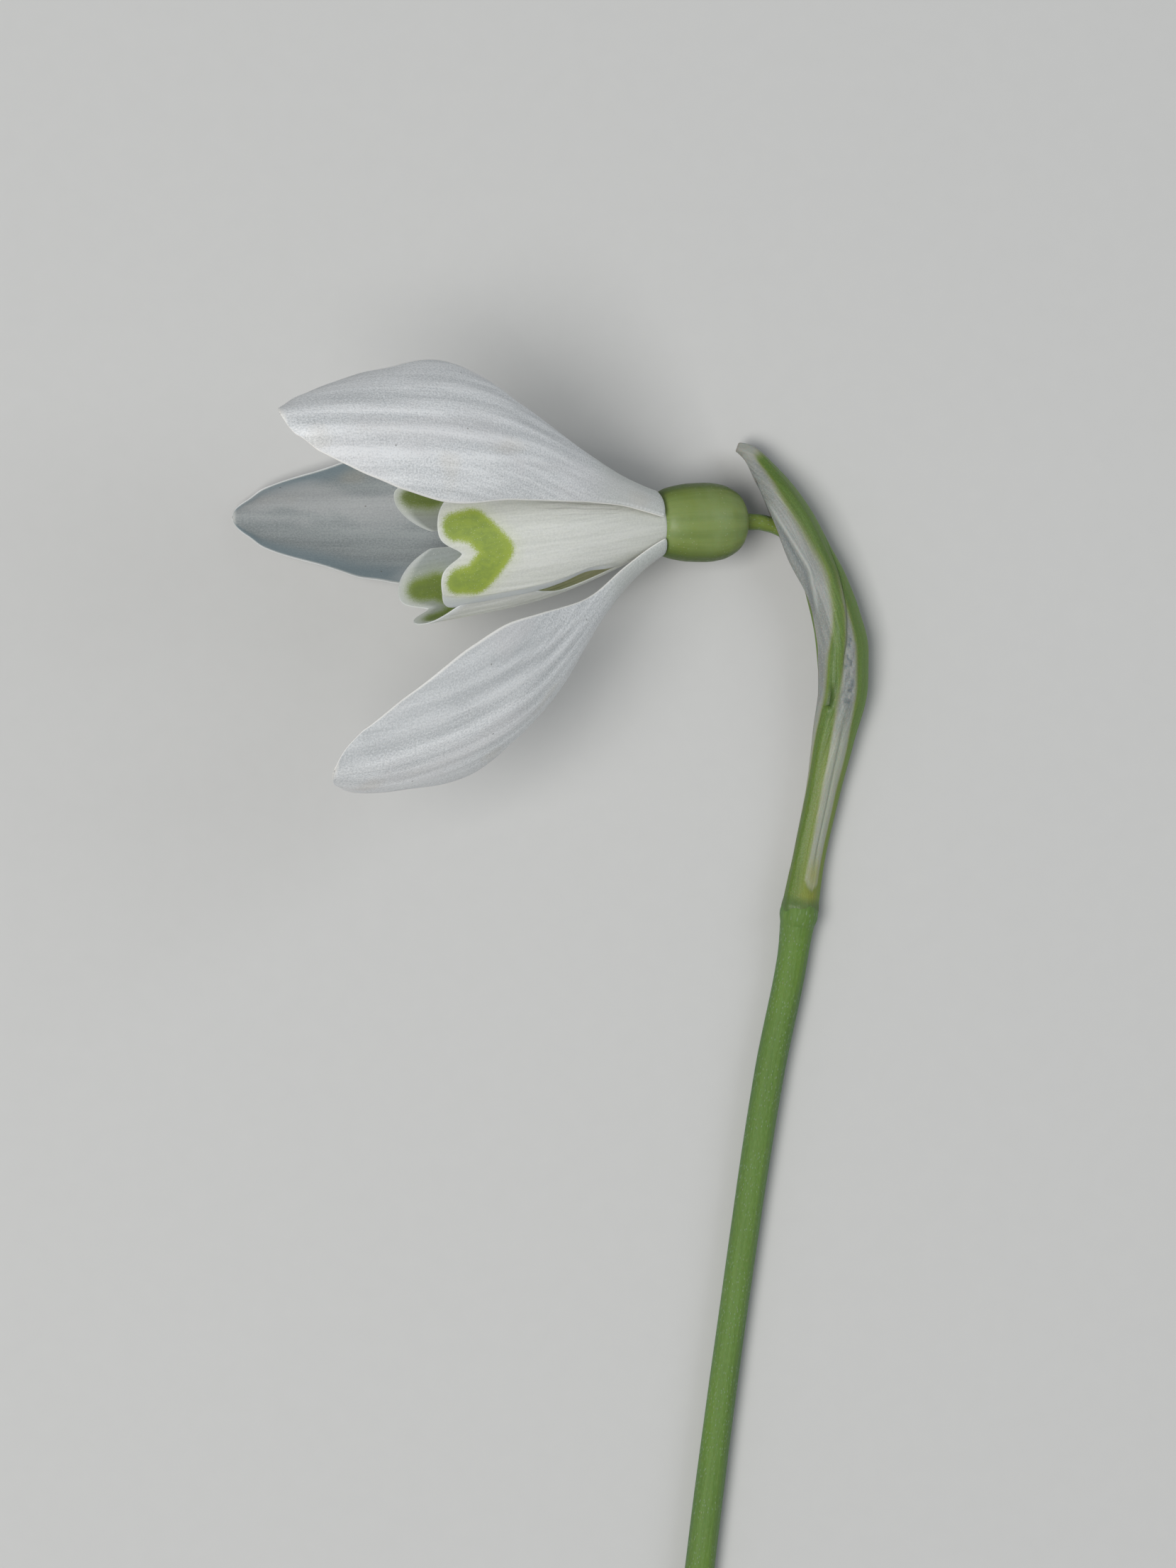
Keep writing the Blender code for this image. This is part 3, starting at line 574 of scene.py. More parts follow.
def outer_surface(tepal, s, t):
    """The middle surface of an outer tepal, each point's distance from the midline, and the way outwards.

    The midline leaves the ovary's rim and follows the lean, sweep and twist angles, added up along s. Each
    cross-section is an arc that is hollow towards the axis: radius (half width / cup), angle cup * t.
    """
    radial, tangent = spokes(tepal["around"])
    fine = np.linspace(0, 1, 801)
    lean = np.radians(through(list(zip((0, 0.3, 0.65, 1), tepal["lean"])), fine))[:, None]
    sweep = np.radians(through(list(zip((0, 0.5, 1), tepal["sweep"])), fine))[:, None]
    twist = np.radians(through(list(zip((0, 0.5, 1), tepal["twist"])), fine))[:, None]
    inward = np.sin(lean) * AXIS - np.cos(lean) * radial
    forward = np.cos(lean) * AXIS + np.sin(lean) * radial
    forward = forward * np.cos(sweep) + tangent * np.sin(sweep)
    breadth = unit(np.cross(inward, forward))
    breadth *= np.sign(breadth[0] @ tangent)
    breadth, inward = (
        breadth * np.cos(twist) + inward * np.sin(twist),
        inward * np.cos(twist) - breadth * np.sin(twist),
    )
    midline = np.zeros((len(fine), 3))
    midline[1:] = np.cumsum((forward[1:] + forward[:-1]) / 2, axis=0) * tepal["length"] / (len(fine) - 1)
    midline += JUNCTION + OUTER_BASE_RADIUS * radial + OUTER_START * AXIS
    midline, breadth, inward = (
        np.stack([np.interp(s, fine, part[:, k]) for k in range(3)], -1)
        for part in (midline, breadth, inward))
    start, middle, end = tepal["cup"]
    cup = np.radians(through([(0, start), (0.25, (start + middle) / 2), (0.6, middle), (1, end)], s))
    half = tepal["half_width"] * through(outer_width(tepal), s)
    round_off = np.sqrt(1 - np.clip((s - 1 + tepal["blunt"]) / tepal["blunt"], 0, 0.999) ** 2)
    near, far = through(tepal["near"], s), through(tepal["far"], s)
    wide = (half + np.where(t[:, None] < 0, near, far)).T
    across = wide * t * round_off[:, None]
    angle = cup[:, None] * t * round_off[:, None]
    arc_radius = wide / cup[:, None]
    points = (
        midline[:, None]
        + (arc_radius * np.sin(angle))[..., None] * breadth[:, None]
        + (arc_radius * (1 - np.cos(angle)))[..., None] * inward[:, None]
    )
    return points, across, -inward


def build_outer_tepal(name, sizes):
    """One outer tepal as a shell with veins, a wavy margin and a hatched or beaded claw.

    The veins are humps across the blade at fixed distances from the midline, drawn together in the claw.
    """
    tepal = OUTER_TEPALS[name]
    seed = tepal["seed"]
    rows, columns = GRIDS["outer_tepal"]
    s = 1 - (1 - np.linspace(0, 1, rows)) ** 1.35
    t = np.sin(np.linspace(-1, 1, columns) * np.pi / 2 * 0.8) / math.sin(np.pi / 2 * 0.8)
    points, across, away = outer_surface(tepal, s, t)
    away = away[:, None]
    s, t = np.meshgrid(s, t, indexing="ij")
    along = tepal["length"] * s
    place = (across - through(tepal["drift"], s)) / through(tepal["gather"], s)
    place = place + 0.05 * ripples(across * 0.4, along * 0.25, 1.6, seed)
    fade = soft_step(0.15, 0.5, s) * (1 - 0.6 * soft_step(0.82, 1, s))
    ridge = sum(strength * hump(where, VEIN_WIDTH, place) for where, strength in tepal["veins"])
    ridge = np.clip(ridge, -0.5, 1.2) * fade
    thread = THREAD_HEIGHT * fade * ripples(across, along * 0.06, 0.22, seed + 40, 36)
    wave = MARGIN_WAVE * (1 - 0.7 * tepal["grey"]) * soft_step(0.6, 1, np.abs(t)) * soft_step(0.15, 0.5, s)
    wave = wave * ripples(across * 0.2, along, 3.0, seed + 80, 12)
    points = points + outward_normal(points, away) * wave[..., None]
    claw = 1 - soft_step(0.12, 0.26, s)
    hatch = along / HATCH_SPACING + 0.3 * ripples(across, along, 0.9, seed + 7)
    hatch = tepal["hatch"] * claw * soft_step(0.02, 0.08, s) * np.sin(2 * np.pi * hatch)
    bead = along / BEAD_SPACING + 0.2 * ripples(across, along, 0.8, seed + 9)
    bead = tepal["beads"] * claw * hump(-0.9, 0.05, t) * (0.5 + 0.5 * np.sin(2 * np.pi * bead))
    relief = sizes.vein_height / MM * (ridge + thread) + HATCH_HEIGHT * hatch + BEAD_HEIGHT * bead
    edge = np.maximum(np.abs(t) ** 9, s**30)
    rim, full = sizes.rim_thickness / MM, sizes.tepal_thickness / MM
    thickness = rim + (full - rim) * (1 - edge)
    points[..., 2] = np.maximum(points[..., 2], thickness / 2)
    # Painted shade over the far half, and a little painted light over the near half.
    painted_half_shade = tepal["painted_half_shade"] * (soft_step(0, 0.6, t) - 0.7 * soft_step(0.3, 0.9, -t)) * soft_step(0.3, 0.5, s)
    values = dict(
        ridge=ridge, claw=claw, side=np.abs(t), bead=bead, painted_half_shade=painted_half_shade,
        edge=np.maximum(soft_step(0.965, 0.995, np.abs(t)), soft_step(0.988, 1, s)))
    return shell(name, points, away, thickness, np.stack([across, along], -1), values, relief)


def inner_surface(tepal, s, t):
    """The middle surface of an inner tepal, with each point's true distance along and across it.

    It wraps round the flower's axis at a radius that grows as the sine of its lean adds up. Its end has two
    rounded lobes with a notch between them. The near margin of the front one folds inwards.
    """
    radial, tangent = spokes(tepal["around"])
    s, t = np.meshgrid(s, t, indexing="ij")
    end = s**5
    notch = NOTCH_DEPTH * np.exp(-((np.abs(t) / NOTCH_WIDTH) ** 1.6))
    rounding = np.where(t < 0, *tepal["rounding"])
    place = s - end * (notch + rounding * np.abs(t) ** 4)
    fine = np.linspace(0, 1, 401)
    lean = np.radians(through(INNER_LEAN, fine))
    step = tepal["length"] * fine[1]
    reach = np.concatenate([[0], np.cumsum(np.cos(lean[1:]) + np.cos(lean[:-1])) * step / 2])
    spread = np.concatenate([[0], np.cumsum(np.sin(lean[1:]) + np.sin(lean[:-1])) * step / 2])
    ahead = np.interp(place, fine, reach) + INNER_START
    out = np.interp(place, fine, spread) + tepal["base_radius"]
    before, after = tepal["overlap"]
    wider = 1 + soft_step(0.42, 0.62, place) * (
        before * soft_step(0.5, 1, -t) + after * soft_step(0.5, 1, t))
    wider = wider - tepal["fold"] * 0.2 * hump(0.37, 0.09, place) * soft_step(0.4, 1, -t)
    across = INNER_HALF_WIDTH * through(INNER_WIDTH, place) * t * wider
    fold_line = through([(0, -0.8), (0.37, -0.74), (0.6, -0.7), (0.9, -0.65), (1, -0.58)], place)
    folded = np.clip(fold_line - t, 0, 1) * INNER_HALF_WIDTH * soft_step(0.2, 0.5, place) * tepal["fold"]
    angle = across / out - 0.35 * folded / out
    out = out - 0.42 * folded
    points = (
        JUNCTION
        + ahead[..., None] * AXIS
        + (out * np.cos(angle))[..., None] * radial
        + (out * np.sin(angle))[..., None] * tangent
    )
    away = np.cos(angle)[..., None] * radial + np.sin(angle)[..., None] * tangent
    return points, away, place * tepal["length"], across, folded


def mark_field(along, across):
    """How deep a point is inside the green mark, in millimetres, negative outside.

    The mark is two bent, rounded arms that meet nearer the base: the radius less the distance to each of
    their straight stretches, whichever is more.
    """
    here = np.stack([along, np.abs(across)], -1)
    field = np.full(along.shape, -np.inf)
    for start, end in zip(np.array(MARK_ARM[:-1]), np.array(MARK_ARM[1:])):
        stretch = end[:2] - start[:2]
        share = np.clip((here - start[:2]) @ stretch / (stretch @ stretch), 0, 1)
        distance = np.linalg.norm(here - start[:2] - share[..., None] * stretch, axis=-1)
        field = np.maximum(field, start[2] + (end[2] - start[2]) * share - distance)
    return field


def build_inner_tepal(name, sizes):
    """One inner tepal as a shell with fine lengthwise ridges and its green mark."""
    tepal = INNER_TEPALS[name]
    rows, columns = GRIDS["inner_tepal"]
    x = np.linspace(0, 1, rows)
    s = 1.3 * x - 0.3 * x * x
    t = np.linspace(-1, 1, columns)
    points, away, along, across, folded = inner_surface(tepal, s, t)
    s, t = np.meshgrid(s, t, indexing="ij")
    place = along / tepal["length"]
    veins = np.cos(2 * np.pi * across / (INNER_VEIN_SPACING * through(INNER_WIDTH, place)))
    thread = ripples(across, along * 0.05, 0.26, tepal["seed"], 36)
    relief = INNER_THREAD_HEIGHT * thread + INNER_VEIN_HEIGHT * veins
    relief = relief * soft_step(1, 8, along) * (1 - 0.6 * soft_step(11.5, 13, along))
    bent = t + 0.012 * ripples(across, along, 1.5, tepal["seed"] + 3)
    wrinkle = hump(0.73, 0.018, bent) + 0.7 * hump(0.62, 0.015, bent) + 0.4 * hump(0.5, 0.012, bent)
    wrinkle = wrinkle * soft_step(0.16, 0.26, place) * (1 - soft_step(0.48, 0.62, place)) * tepal["fold"]
    relief = relief - WRINKLE_DEPTH * wrinkle
    edge = np.maximum(np.abs(t) ** 12, s**26)
    rim, full = 1.15 * sizes.rim_thickness / MM, 0.85 * sizes.tepal_thickness / MM
    thickness = rim + (full - rim) * (1 - edge)
    pale_end = soft_step(0.93, 0.985, s) * (tepal["fold"] == 0)
    values = dict(
        mark=mark_field(along, across), along=place, wrinkle=wrinkle, fold=soft_step(0, 0.16, folded),
        groove=hump(0.03, 0.05, folded) * soft_step(0.001, 0.02, folded),
        edge=np.maximum(soft_step(0.9, 1, edge), pale_end), stripes=0.5 + 0.5 * veins)
    return shell(name, points, away, thickness, np.stack([across, along], -1), values, relief)


def spathe_surface(s, v):
    """The outer surface of the spathe: a sheath round the pedicel, open on one side.

    A section is (reach cos a, half depth sin a) round its centre, with a ridge at each keel, where a runs
    from one free margin underneath, past the right-hand keel at 0, to the other margin over the top.
    """
    table = np.array(SPATHE_SECTIONS)
    x, y, z, half_width, half_depth, over, under = (
        through(np.stack([table[:, 0], column], 1), s)[:, None] for column in table[:, 1:].T
    )
    centre = np.concatenate([x, y], axis=1)
    heading = unit(np.gradient(centre, axis=0))
    right = np.stack([heading[:, 1], -heading[:, 0]], axis=1)
    angle = np.radians(under + (over - under) * v)
    reach = (2 * half_width - KEEL_RISE) / (1 - np.cos(np.radians(over)))
    front = np.radians(through(FRONT_KEEL, s))[:, None]
    rise = KEEL_RISE * (hump(0, 0.35, angle) + hump(front, 0.3, angle))
    sideways = (reach + rise) * np.cos(angle) + half_width - KEEL_RISE - reach
    height = np.maximum(z + (half_depth + rise) * np.sin(angle), 0)
    points = np.empty((len(s), len(v), 3))
    points[..., :2] = centre[:, None] + sideways[..., None] * right[:, None]
    points[..., 2] = height
    away = np.empty_like(points)
    away[..., :2] = np.cos(angle)[..., None] * right[:, None]
    away[..., 2] = np.sin(angle)
    return points, away, np.degrees(angle)


def band(rise, fall, share):
    """1 along a stretch of the spathe that comes in over rise and goes out over fall, each (from, to)."""
    return soft_step(*rise, share) * (1 - soft_step(*fall, share))


def build_spathe(sizes):
    """The spathe as a shell that is thick and green along its keels and thin and crinkled between them."""
    rows, columns = GRIDS["spathe"]
    s = np.linspace(0, 1, rows)
    points, away, angle = spathe_surface(s, np.linspace(0, 1, columns))
    centre = columns // 2
    along = np.concatenate([[0], np.cumsum(np.linalg.norm(np.diff(points[:, centre], axis=0), axis=1))])
    along = np.broadcast_to(along[:, None], angle.shape)
    around = np.linalg.norm(np.diff(points, axis=1), axis=2)
    across = np.concatenate([np.zeros((len(s), 1)), np.cumsum(around, axis=1)], axis=1)
    across = across - across[:, [centre]]

    # The two keels, with the strip between them closed at its foot and the tip left dry.
    share = s[:, None]
    front, half, side_half, fold_line = (
        through(knots, s)[:, None] for knots in (FRONT_KEEL, FRONT_KEEL_HALF, SIDE_KEEL_HALF, MEMBRANE_FOLD))
    wander = 2.0 * ripples(across * 0.3, along * 0.3, 0.8, 21)
    blur = 11 + 17 * soft_step(0.56, 0.72, share)
    keel = np.maximum(
        1 - soft_step(half - blur, half + 8, np.abs(angle - front + wander)),
        1 - soft_step(side_half - 11, side_half + 8, np.abs(angle - 2 + wander)))
    strip = (front - half + side_half) / 2
    strip_half = np.maximum(front - half - side_half, 4) / 2
    foot_end = 0.033 + 0.02 * np.minimum(((angle - strip) / strip_half) ** 2, 2)
    keel = np.maximum(keel, 1 - soft_step(-0.02, 0.02, share - foot_end + 0.004 * wander))
    keel = keel * (1 - soft_step(0.945, 0.975, share + 0.004 * wander))
    fleshy = np.maximum(
        1 - soft_step(half - 20, half + 22, np.abs(angle - front)),
        1 - soft_step(side_half - 20, side_half + 22, np.abs(angle - 2)))
    fleshy = fleshy * (1 - soft_step(0.9, 0.98, share))
    thin = 1 - keel

    # The marks on and beside the keels, each 0 to 1.
    between = soft_step(0, 12, angle - side_half) * soft_step(0, 12, front - half - angle)
    crumpled = ripples(across, along, 0.3, 23, 40) * hump(0.5, 0.1, share) * between
    marks = dict(
        crease=hump(front + 2, 9, angle) * band((0.405, 0.413), (0.43, 0.47), share),
        lip=hump(front, 13, angle) * hump(0.40, 0.008, share),
        fold=hump(fold_line, 5, angle) * band((0.61, 0.66), (0.86, 0.9), share),
        hollow=hump(fold_line + 16, 10, angle) * band((0.6, 0.66), (0.8, 0.88), share),
        seam=hump(front - half - 2, 4, angle) * band((0.45, 0.55), (0.72, 0.82), share),
        groove=hump(strip, 6, angle) * band((0.06, 0.12), (0.36, 0.44), share))
    lengthwise = ripples(across, along * 0.08, 0.35, 22, 30)
    raised = sizes.crinkle_height / MM * thin * (0.55 * lengthwise + 1.3 * crumpled)
    raised = raised + 0.006 * ripples(across, along * 0.05, 0.2, 24, 30) * keel
    raised = raised + sum(SPATHE_RELIEF[name] * mark for name, mark in marks.items())

    full, membrane = sizes.spathe_thickness / MM, sizes.membrane_thickness / MM
    thickness = membrane + (full - membrane) * fleshy
    middle = points + outward_normal(points, away) * (raised - thickness / 2)[..., None]
    middle[..., 2] = np.maximum(middle[..., 2], thickness / 2)
    foot = hump(0.07, 0.035, share) * hump(strip, 30, angle)
    border = keel * hump(strip, 42, angle) * (1 - soft_step(0.25, 0.42, share))
    # Masks for the colour: crease, hollow, crumple and shade carry painted shade, and fold a painted
    # highlight.
    values = dict(
        keel=keel, along=share, crumple=np.abs(crumpled) * thin, fold=marks["fold"], hollow=marks["hollow"],
        crease=np.maximum(marks["crease"], np.maximum(0.7 * marks["seam"], 0.35 * marks["groove"])),
        yellow=np.maximum(np.maximum(keel * thin * 1.4, foot), border), side=hump(2, 30, angle),
        shade=hump(front - 1, 13, angle) * band((0.405, 0.413), (0.415, 0.5), share))
    return shell("spathe", middle, away, thickness, np.stack([across, along], -1), values)


# ---------------------------------------------------------------- materials


class Look:
    """One material in the making. Each method adds nodes and returns the socket that carries their result."""

    def __init__(self, name, specular, subsurface=0.0, scatter=0.0, radius=None):
        """A new material. Light goes scatter millimetres deep into it, times a radius for each colour."""
        self.material = bpy.data.materials.new(name)
        self.material.use_nodes = True
        self.tree = self.material.node_tree
        self.shader = self.tree.nodes["Principled BSDF"]
        self.set("Specular IOR Level", specular)
        self.set("Subsurface Weight", subsurface)
        self.set("Subsurface Scale", scatter * MM)
        if radius:
            self.set("Subsurface Radius", radius)

    def set(self, key, value):
        """Hold a plain value in one of the shader's own sockets."""
        self.shader.inputs[key].default_value = value

    def add(self, kind, inputs, **settings):
        """A node with its settings, and its inputs fed from sockets or plain values."""
        made = self.tree.nodes.new(kind)
        for key, value in settings.items():
            setattr(made, key, value)
        for key, value in inputs.items():
            if isinstance(value, bpy.types.NodeSocket):
                self.tree.links.new(value, made.inputs[key])
            else:
                made.inputs[key].default_value = value
        return made

    def held(self, name):
        """A value that the mesh holds at each point."""
        return self.add("ShaderNodeAttribute", {}, attribute_name=name).outputs["Fac"]

    def stretched(self, across, along):
        """The surface's own coordinates in millimetres, times a scale in each direction."""
        place = self.add("ShaderNodeUVMap", {}, uv_map="surface").outputs["UV"]
        return self.add(
            "ShaderNodeVectorMath", {0: place, 1: (across, along, 1)}, operation="MULTIPLY").outputs[0]

    def noise(self, across, along, detail=2.0, roughness=0.5, distortion=0.0):
        """Cloudy noise with so many waves to the millimetre across and along the surface."""
        return self.add(
            "ShaderNodeTexNoise",
            {"Vector": self.stretched(across, along), "Scale": 1.0, "Detail": detail, "Roughness": roughness,
             "Distortion": distortion}, noise_dimensions="2D").outputs[0]

    def dots(self, across, along, low, high):
        """1 on dots scattered so many to the millimetre, from the distance low inwards to 0 beyond high."""
        distance = self.add(
            "ShaderNodeTexVoronoi",
            {"Vector": self.stretched(across, along), "Scale": 1.0, "Randomness": 1.0},
            voronoi_dimensions="2D").outputs["Distance"]
        return self.between(distance, high, low)

    def math(self, operation, *values, clamp=False):
        """One step of arithmetic."""
        return self.add(
            "ShaderNodeMath", dict(enumerate(values)), operation=operation, use_clamp=clamp).outputs[0]

    def in_patches(self, value, across, along, low, high):
        """The value where a cloud of so many waves to the millimetre is above high, and 0 where below low."""
        return self.math("MULTIPLY", value, self.between(self.noise(across, along, 1), low, high))

    def total(self, start, *parts, clamp=False):
        """start + value * weight + ... for each (value, weight), kept within 0 and 1 at the end if asked."""
        for number, (value, weight) in enumerate(parts, 1):
            start = self.math("MULTIPLY_ADD", value, weight, start, clamp=clamp and number == len(parts))
        return start

    def between(self, value, low=0.3, high=0.7, start=0.0, end=1.0):
        """From start to end, smoothed, as the value goes from low to high, which noise seldom passes."""
        return self.add(
            "ShaderNodeMapRange",
            {"Value": value, "From Min": low, "From Max": high, "To Min": start, "To Max": end},
            interpolation_type="SMOOTHSTEP").outputs[0]

    def mix(self, amount, a, b):
        """Colour a, or b where the amount is 1."""
        a, b = (colour if isinstance(colour, bpy.types.NodeSocket) else (*colour, 1) for colour in (a, b))
        return self.add("ShaderNodeMix", {0: amount, 6: a, 7: b}, data_type="RGBA").outputs[2]

    def coated(self, colour, *coats):
        """The colour under coats of (mask, strength, tint). A mask is a socket or a held value's name."""
        for mask, strength, tint in coats:
            if isinstance(mask, str):
                mask = self.held(mask)
            colour = self.mix(self.math("MULTIPLY", mask, strength), colour, tint)
        return colour

    def finish(self, colour, roughness, relief, depth, strength):
        """Feed the shader with a colour, a roughness and a relief whose 1 stands so many millimetres up."""
        bump = self.add("ShaderNodeBump", {"Height": relief, "Distance": depth * MM, "Strength": strength})
        self.tree.links.new(colour, self.shader.inputs["Base Color"])
        self.tree.links.new(roughness, self.shader.inputs["Roughness"])
        self.tree.links.new(bump.outputs[0], self.shader.inputs["Normal"])
        return self.material


def outer_tepal_look(name, tepal, colours):
    """White veins, grey bands, stains, specks, painted glints, a rim of painted light and painted shade."""
    look = Look(name, 0.45, 0.25, 0.4, (1.0, 0.95, 0.9))
    white, grey, shade = np.array(colours.petal_white), np.array(colours.petal_grey), tepal["grey"]
    streak = look.noise(2.2, 0.12, 3, 0.6, 0.3)
    thread = look.noise(7.0, 0.35, 2, 0.6)
    grain = look.noise(11.0, 8.5, 2, 0.7)
    cloud = look.noise(0.5, 0.22 + 0.01 * tepal["seed"], 2, 0.5)
    side = look.held("side")
    lit = look.total(
        0.26, (look.held("ridge"), 0.37), (look.between(streak, 0.35, 0.7), 0.26),
        (look.between(thread, 0.35, 0.7), 0.12), (look.between(cloud, 0.35, 0.65), 0.12),
        # Painted shade over the far half, and a little painted light over the near half.
        (look.held("painted_half_shade"), -0.3), (look.between(side, 0.6, 1.0), -0.1),
        (look.math("SUBTRACT", grain, 0.47), 1.9), clamp=True)
    # A painted-shade copy of the colour for a tepal's inner side, bluer towards its margins.
    shaded = look.coated(
        look.mix(lit, (0.21, 0.235, 0.24), (0.315, 0.34, 0.342)),
        (look.between(side, 0.55, 0.9), 0.65, (0.21, 0.28, 0.315)))
    lilac = look.between(look.noise(0.35, 0.16, 2, 0.5, 0.4), 0.45, 0.65)
    stain = look.between(look.noise(0.3, 0.21 + 0.004 * tepal["seed"], 1, 0.4), 0.68, 0.82)
    speck = look.dots(0.17, 0.17, 0.006, 0.010)
    glitter = look.dots(8.0, 7.0, 0.08, 0.18)
    # Painted glints where the grain and the claw's beads catch the light, fewer on a shaded inner side.
    painted_glints = look.math("MULTIPLY", look.in_patches(glitter, 1.1, 0.9, 0.35, 0.65), 1 - 0.9 * shade)
    painted_glints = look.math("MAXIMUM", painted_glints, look.held("bead"))
    colour = look.coated(
        look.mix(lit, grey, white),
        # Painted shade greys the far half.
        ("painted_half_shade", 0.7, 0.85 * grey),
        ("claw", 0.6, (0.50, 0.525, 0.48)),
        # Painted shade over the inner side, as much as the tepal's grey asks for.
        ("inside", shade, shaded),
        (lilac, 0.22, (0.66, 0.635, 0.64)),
        # A pale rim: painted light where light shines through the thin margin.
        ("edge", 0.8 - 0.4 * shade, (0.90, 0.88, 0.83)),
        (stain, 0.14, (0.58, 0.47, 0.30)),
        (speck, 0.6, (0.12, 0.11, 0.10)),
        # Painted glints.
        (painted_glints, 0.55, (0.92, 0.93, 0.93)))
    relief = look.total(0.0, (grain, 0.55), (thread, 0.4), (glitter, 0.25))
    return look.finish(colour, look.total(0.58, (painted_glints, -0.3)), relief, 0.03, 1 - 0.5 * shade)


def inner_tepal_look(name, tepal, colours):
    """Creamy white with fine ridges, fuzzy green marks outside, green stripes inside, and painted glints,
    light and shade.
    """
    look = Look(name, 0.45, 0.4, 0.8, (1.0, 1.0, 0.8))
    # The mark's green and the inner side's colour carry painted shade on the tepals deeper in the cup.
    cream, green = 0.96 * np.array(colours.inner_cream), tepal["leaf"] * np.array(colours.mark_green)
    shaded_lining = tepal["shaded_lining"] * cream
    thread = look.noise(5.5, 0.3, 3, 0.6, 0.2)
    streak = look.noise(1.6, 0.1, 2, 0.5)
    grain = look.noise(9.0, 7.0, 2, 0.6)
    mottle = look.noise(3.0, 2.0, 3, 0.65, 0.4)
    fuzz = look.noise(14.0, 11.0, 2, 0.7)
    inside, along, mark = look.held("inside"), look.held("along"), look.held("mark")
    lit = look.total(
        0.0, (look.between(thread, 0.25, 0.7), 0.6), (look.between(streak), 0.4),
        (look.math("SUBTRACT", grain, 0.47), 1.4), clamp=True)
    inner = look.coated(
        look.mix(lit, shaded_lining * 0.9, shaded_lining * 1.05),
        # Towards the foot, a pale olive: the inner side's own greenish colour, brightened with painted light
        # for light shining through the tepal.
        (look.between(along, 0.75, 0.5), 1.0, (0.72, 0.74, 0.50)))

    # The mark's border wanders with the mottling and frays with the fuzz.
    field = look.total(
        mark, (look.math("SUBTRACT", mottle, 0.5), 0.16), (look.math("SUBTRACT", fuzz, 0.5), 0.36))
    stripes = look.math(
        "MULTIPLY", look.between(look.held("stripes"), 0.3, 0.8), look.between(along, 0.2, 0.45))
    stripes = look.math("MULTIPLY", stripes, look.between(along, 0.78, 0.62, 0.0, 0.35))
    inside_mark = look.math("MAXIMUM", look.between(field, -0.3, 0.3), stripes)
    marked = look.add(
        "ShaderNodeMix", {0: inside, 2: look.between(field, -0.2, 0.14), 3: inside_mark},
        data_type="FLOAT").outputs[0]
    leaf = look.mix(look.between(mottle), green * (0.82, 0.86, 0.8), green * (1.25, 1.15, 1.3))
    leaf = look.coated(
        look.mix(look.between(field, 0.05, 0.4), green * (1.5, 1.3, 1.6), leaf),
        (look.between(along, 0.83, 0.7), 0.4, green * (1.6, 1.35, 1.6)),
        (look.between(along, 0.9, 0.97), 0.5, green * (0.75, 0.82, 0.7)))

    # Painted glints where the grain catches the light, fewer in the green mark.
    painted_glints = look.in_patches(look.dots(4.6, 4.0, 0.05, 0.12), 1.3, 1.0, 0.4, 0.62)
    colour = look.coated(
        look.mix(lit, cream * (0.85, 0.855, 0.85), cream * 1.03),
        (inside, 1.0, inner),
        (look.between(along, 0.4, 0.0), 0.16, (0.60, 0.63, 0.50)),
        # Painted shade on the folded margin, in the groove along the fold and in the wrinkles beside it.
        ("fold", 0.75, (0.66, 0.71, 0.73)),
        ("groove", 0.3, (0.36, 0.38, 0.36)),
        ("wrinkle", 0.4, (0.36, 0.33, 0.34)),
        ("edge", 0.6, (0.76, 0.79, 0.77)),
        (marked, 0.95, leaf),
        (look.between(mark, -0.9, 0.1), 0.18, (0.52, 0.60, 0.20)),
        (painted_glints, look.between(field, -0.1, 0.1, 0.5, 0.22), (0.90, 0.92, 0.88)))
    relief = look.total(0.0, (grain, 0.45), (thread, 0.6))
    return look.finish(colour, look.total(0.52, (painted_glints, -0.3)), relief, 0.026, 0.8)


def stem_look(name, green, yellow, flecks, streaks):
    """Green with fine lengthwise streaks, tiny pale long flecks, a waxy bloom and its painted sheen.

    Across, the UV runs once round, so flecks and streaks count round the stalk.
    """
    look = Look(name, 0.25, 0.12, 0.4)
    look.set("Sheen Weight", 0.15)
    look.set("Sheen Roughness", 0.4)
    look.set("Sheen Tint", (0.70, 0.86, 0.95, 1))
    green, yellow, upward = np.array(green), np.array(yellow), look.held("upward")
    streak = look.noise(streaks, 0.25, 3, 0.6, 0.2)
    broad = look.noise(4.0, 0.08, 2, 0.5)
    grain = look.noise(streaks * 2.2, 3.2, 2, 0.6)
    tone = look.total(0.0, (look.between(streak), 0.55), (look.between(broad), 0.45))
    fleck = look.in_patches(look.dots(flecks, 2.6, 0.10, 0.20), 4.0, 0.9, 0.35, 0.55)
    colour = look.coated(
        look.mix(tone, green * (0.80, 0.82, 0.85), green * (1.22, 1.16, 1.25)),
        (look.between(look.noise(2.0, 0.15, 2), 0.5, 0.75), 0.5, yellow),
        # Painted sheen of the waxy bloom: yellower where the stalk faces up, bluish towards its sides.
        (look.between(upward, 0.3, 0.95), 0.4, yellow),
        (look.between(upward, 0.75, 0.2), 0.35, green * (0.95, 1.0, 1.8)),
        (fleck, 0.3, (0.36, 0.46, 0.34)),
        (look.between(grain, 0.45, 0.7), 0.4, green * (1.7, 1.5, 1.9)))
    relief = look.total(0.0, (streak, 0.6), (grain, 0.5), (fleck, 0.35))
    return look.finish(colour, look.between(grain, start=0.52, end=0.68), relief, 0.035, 0.9)


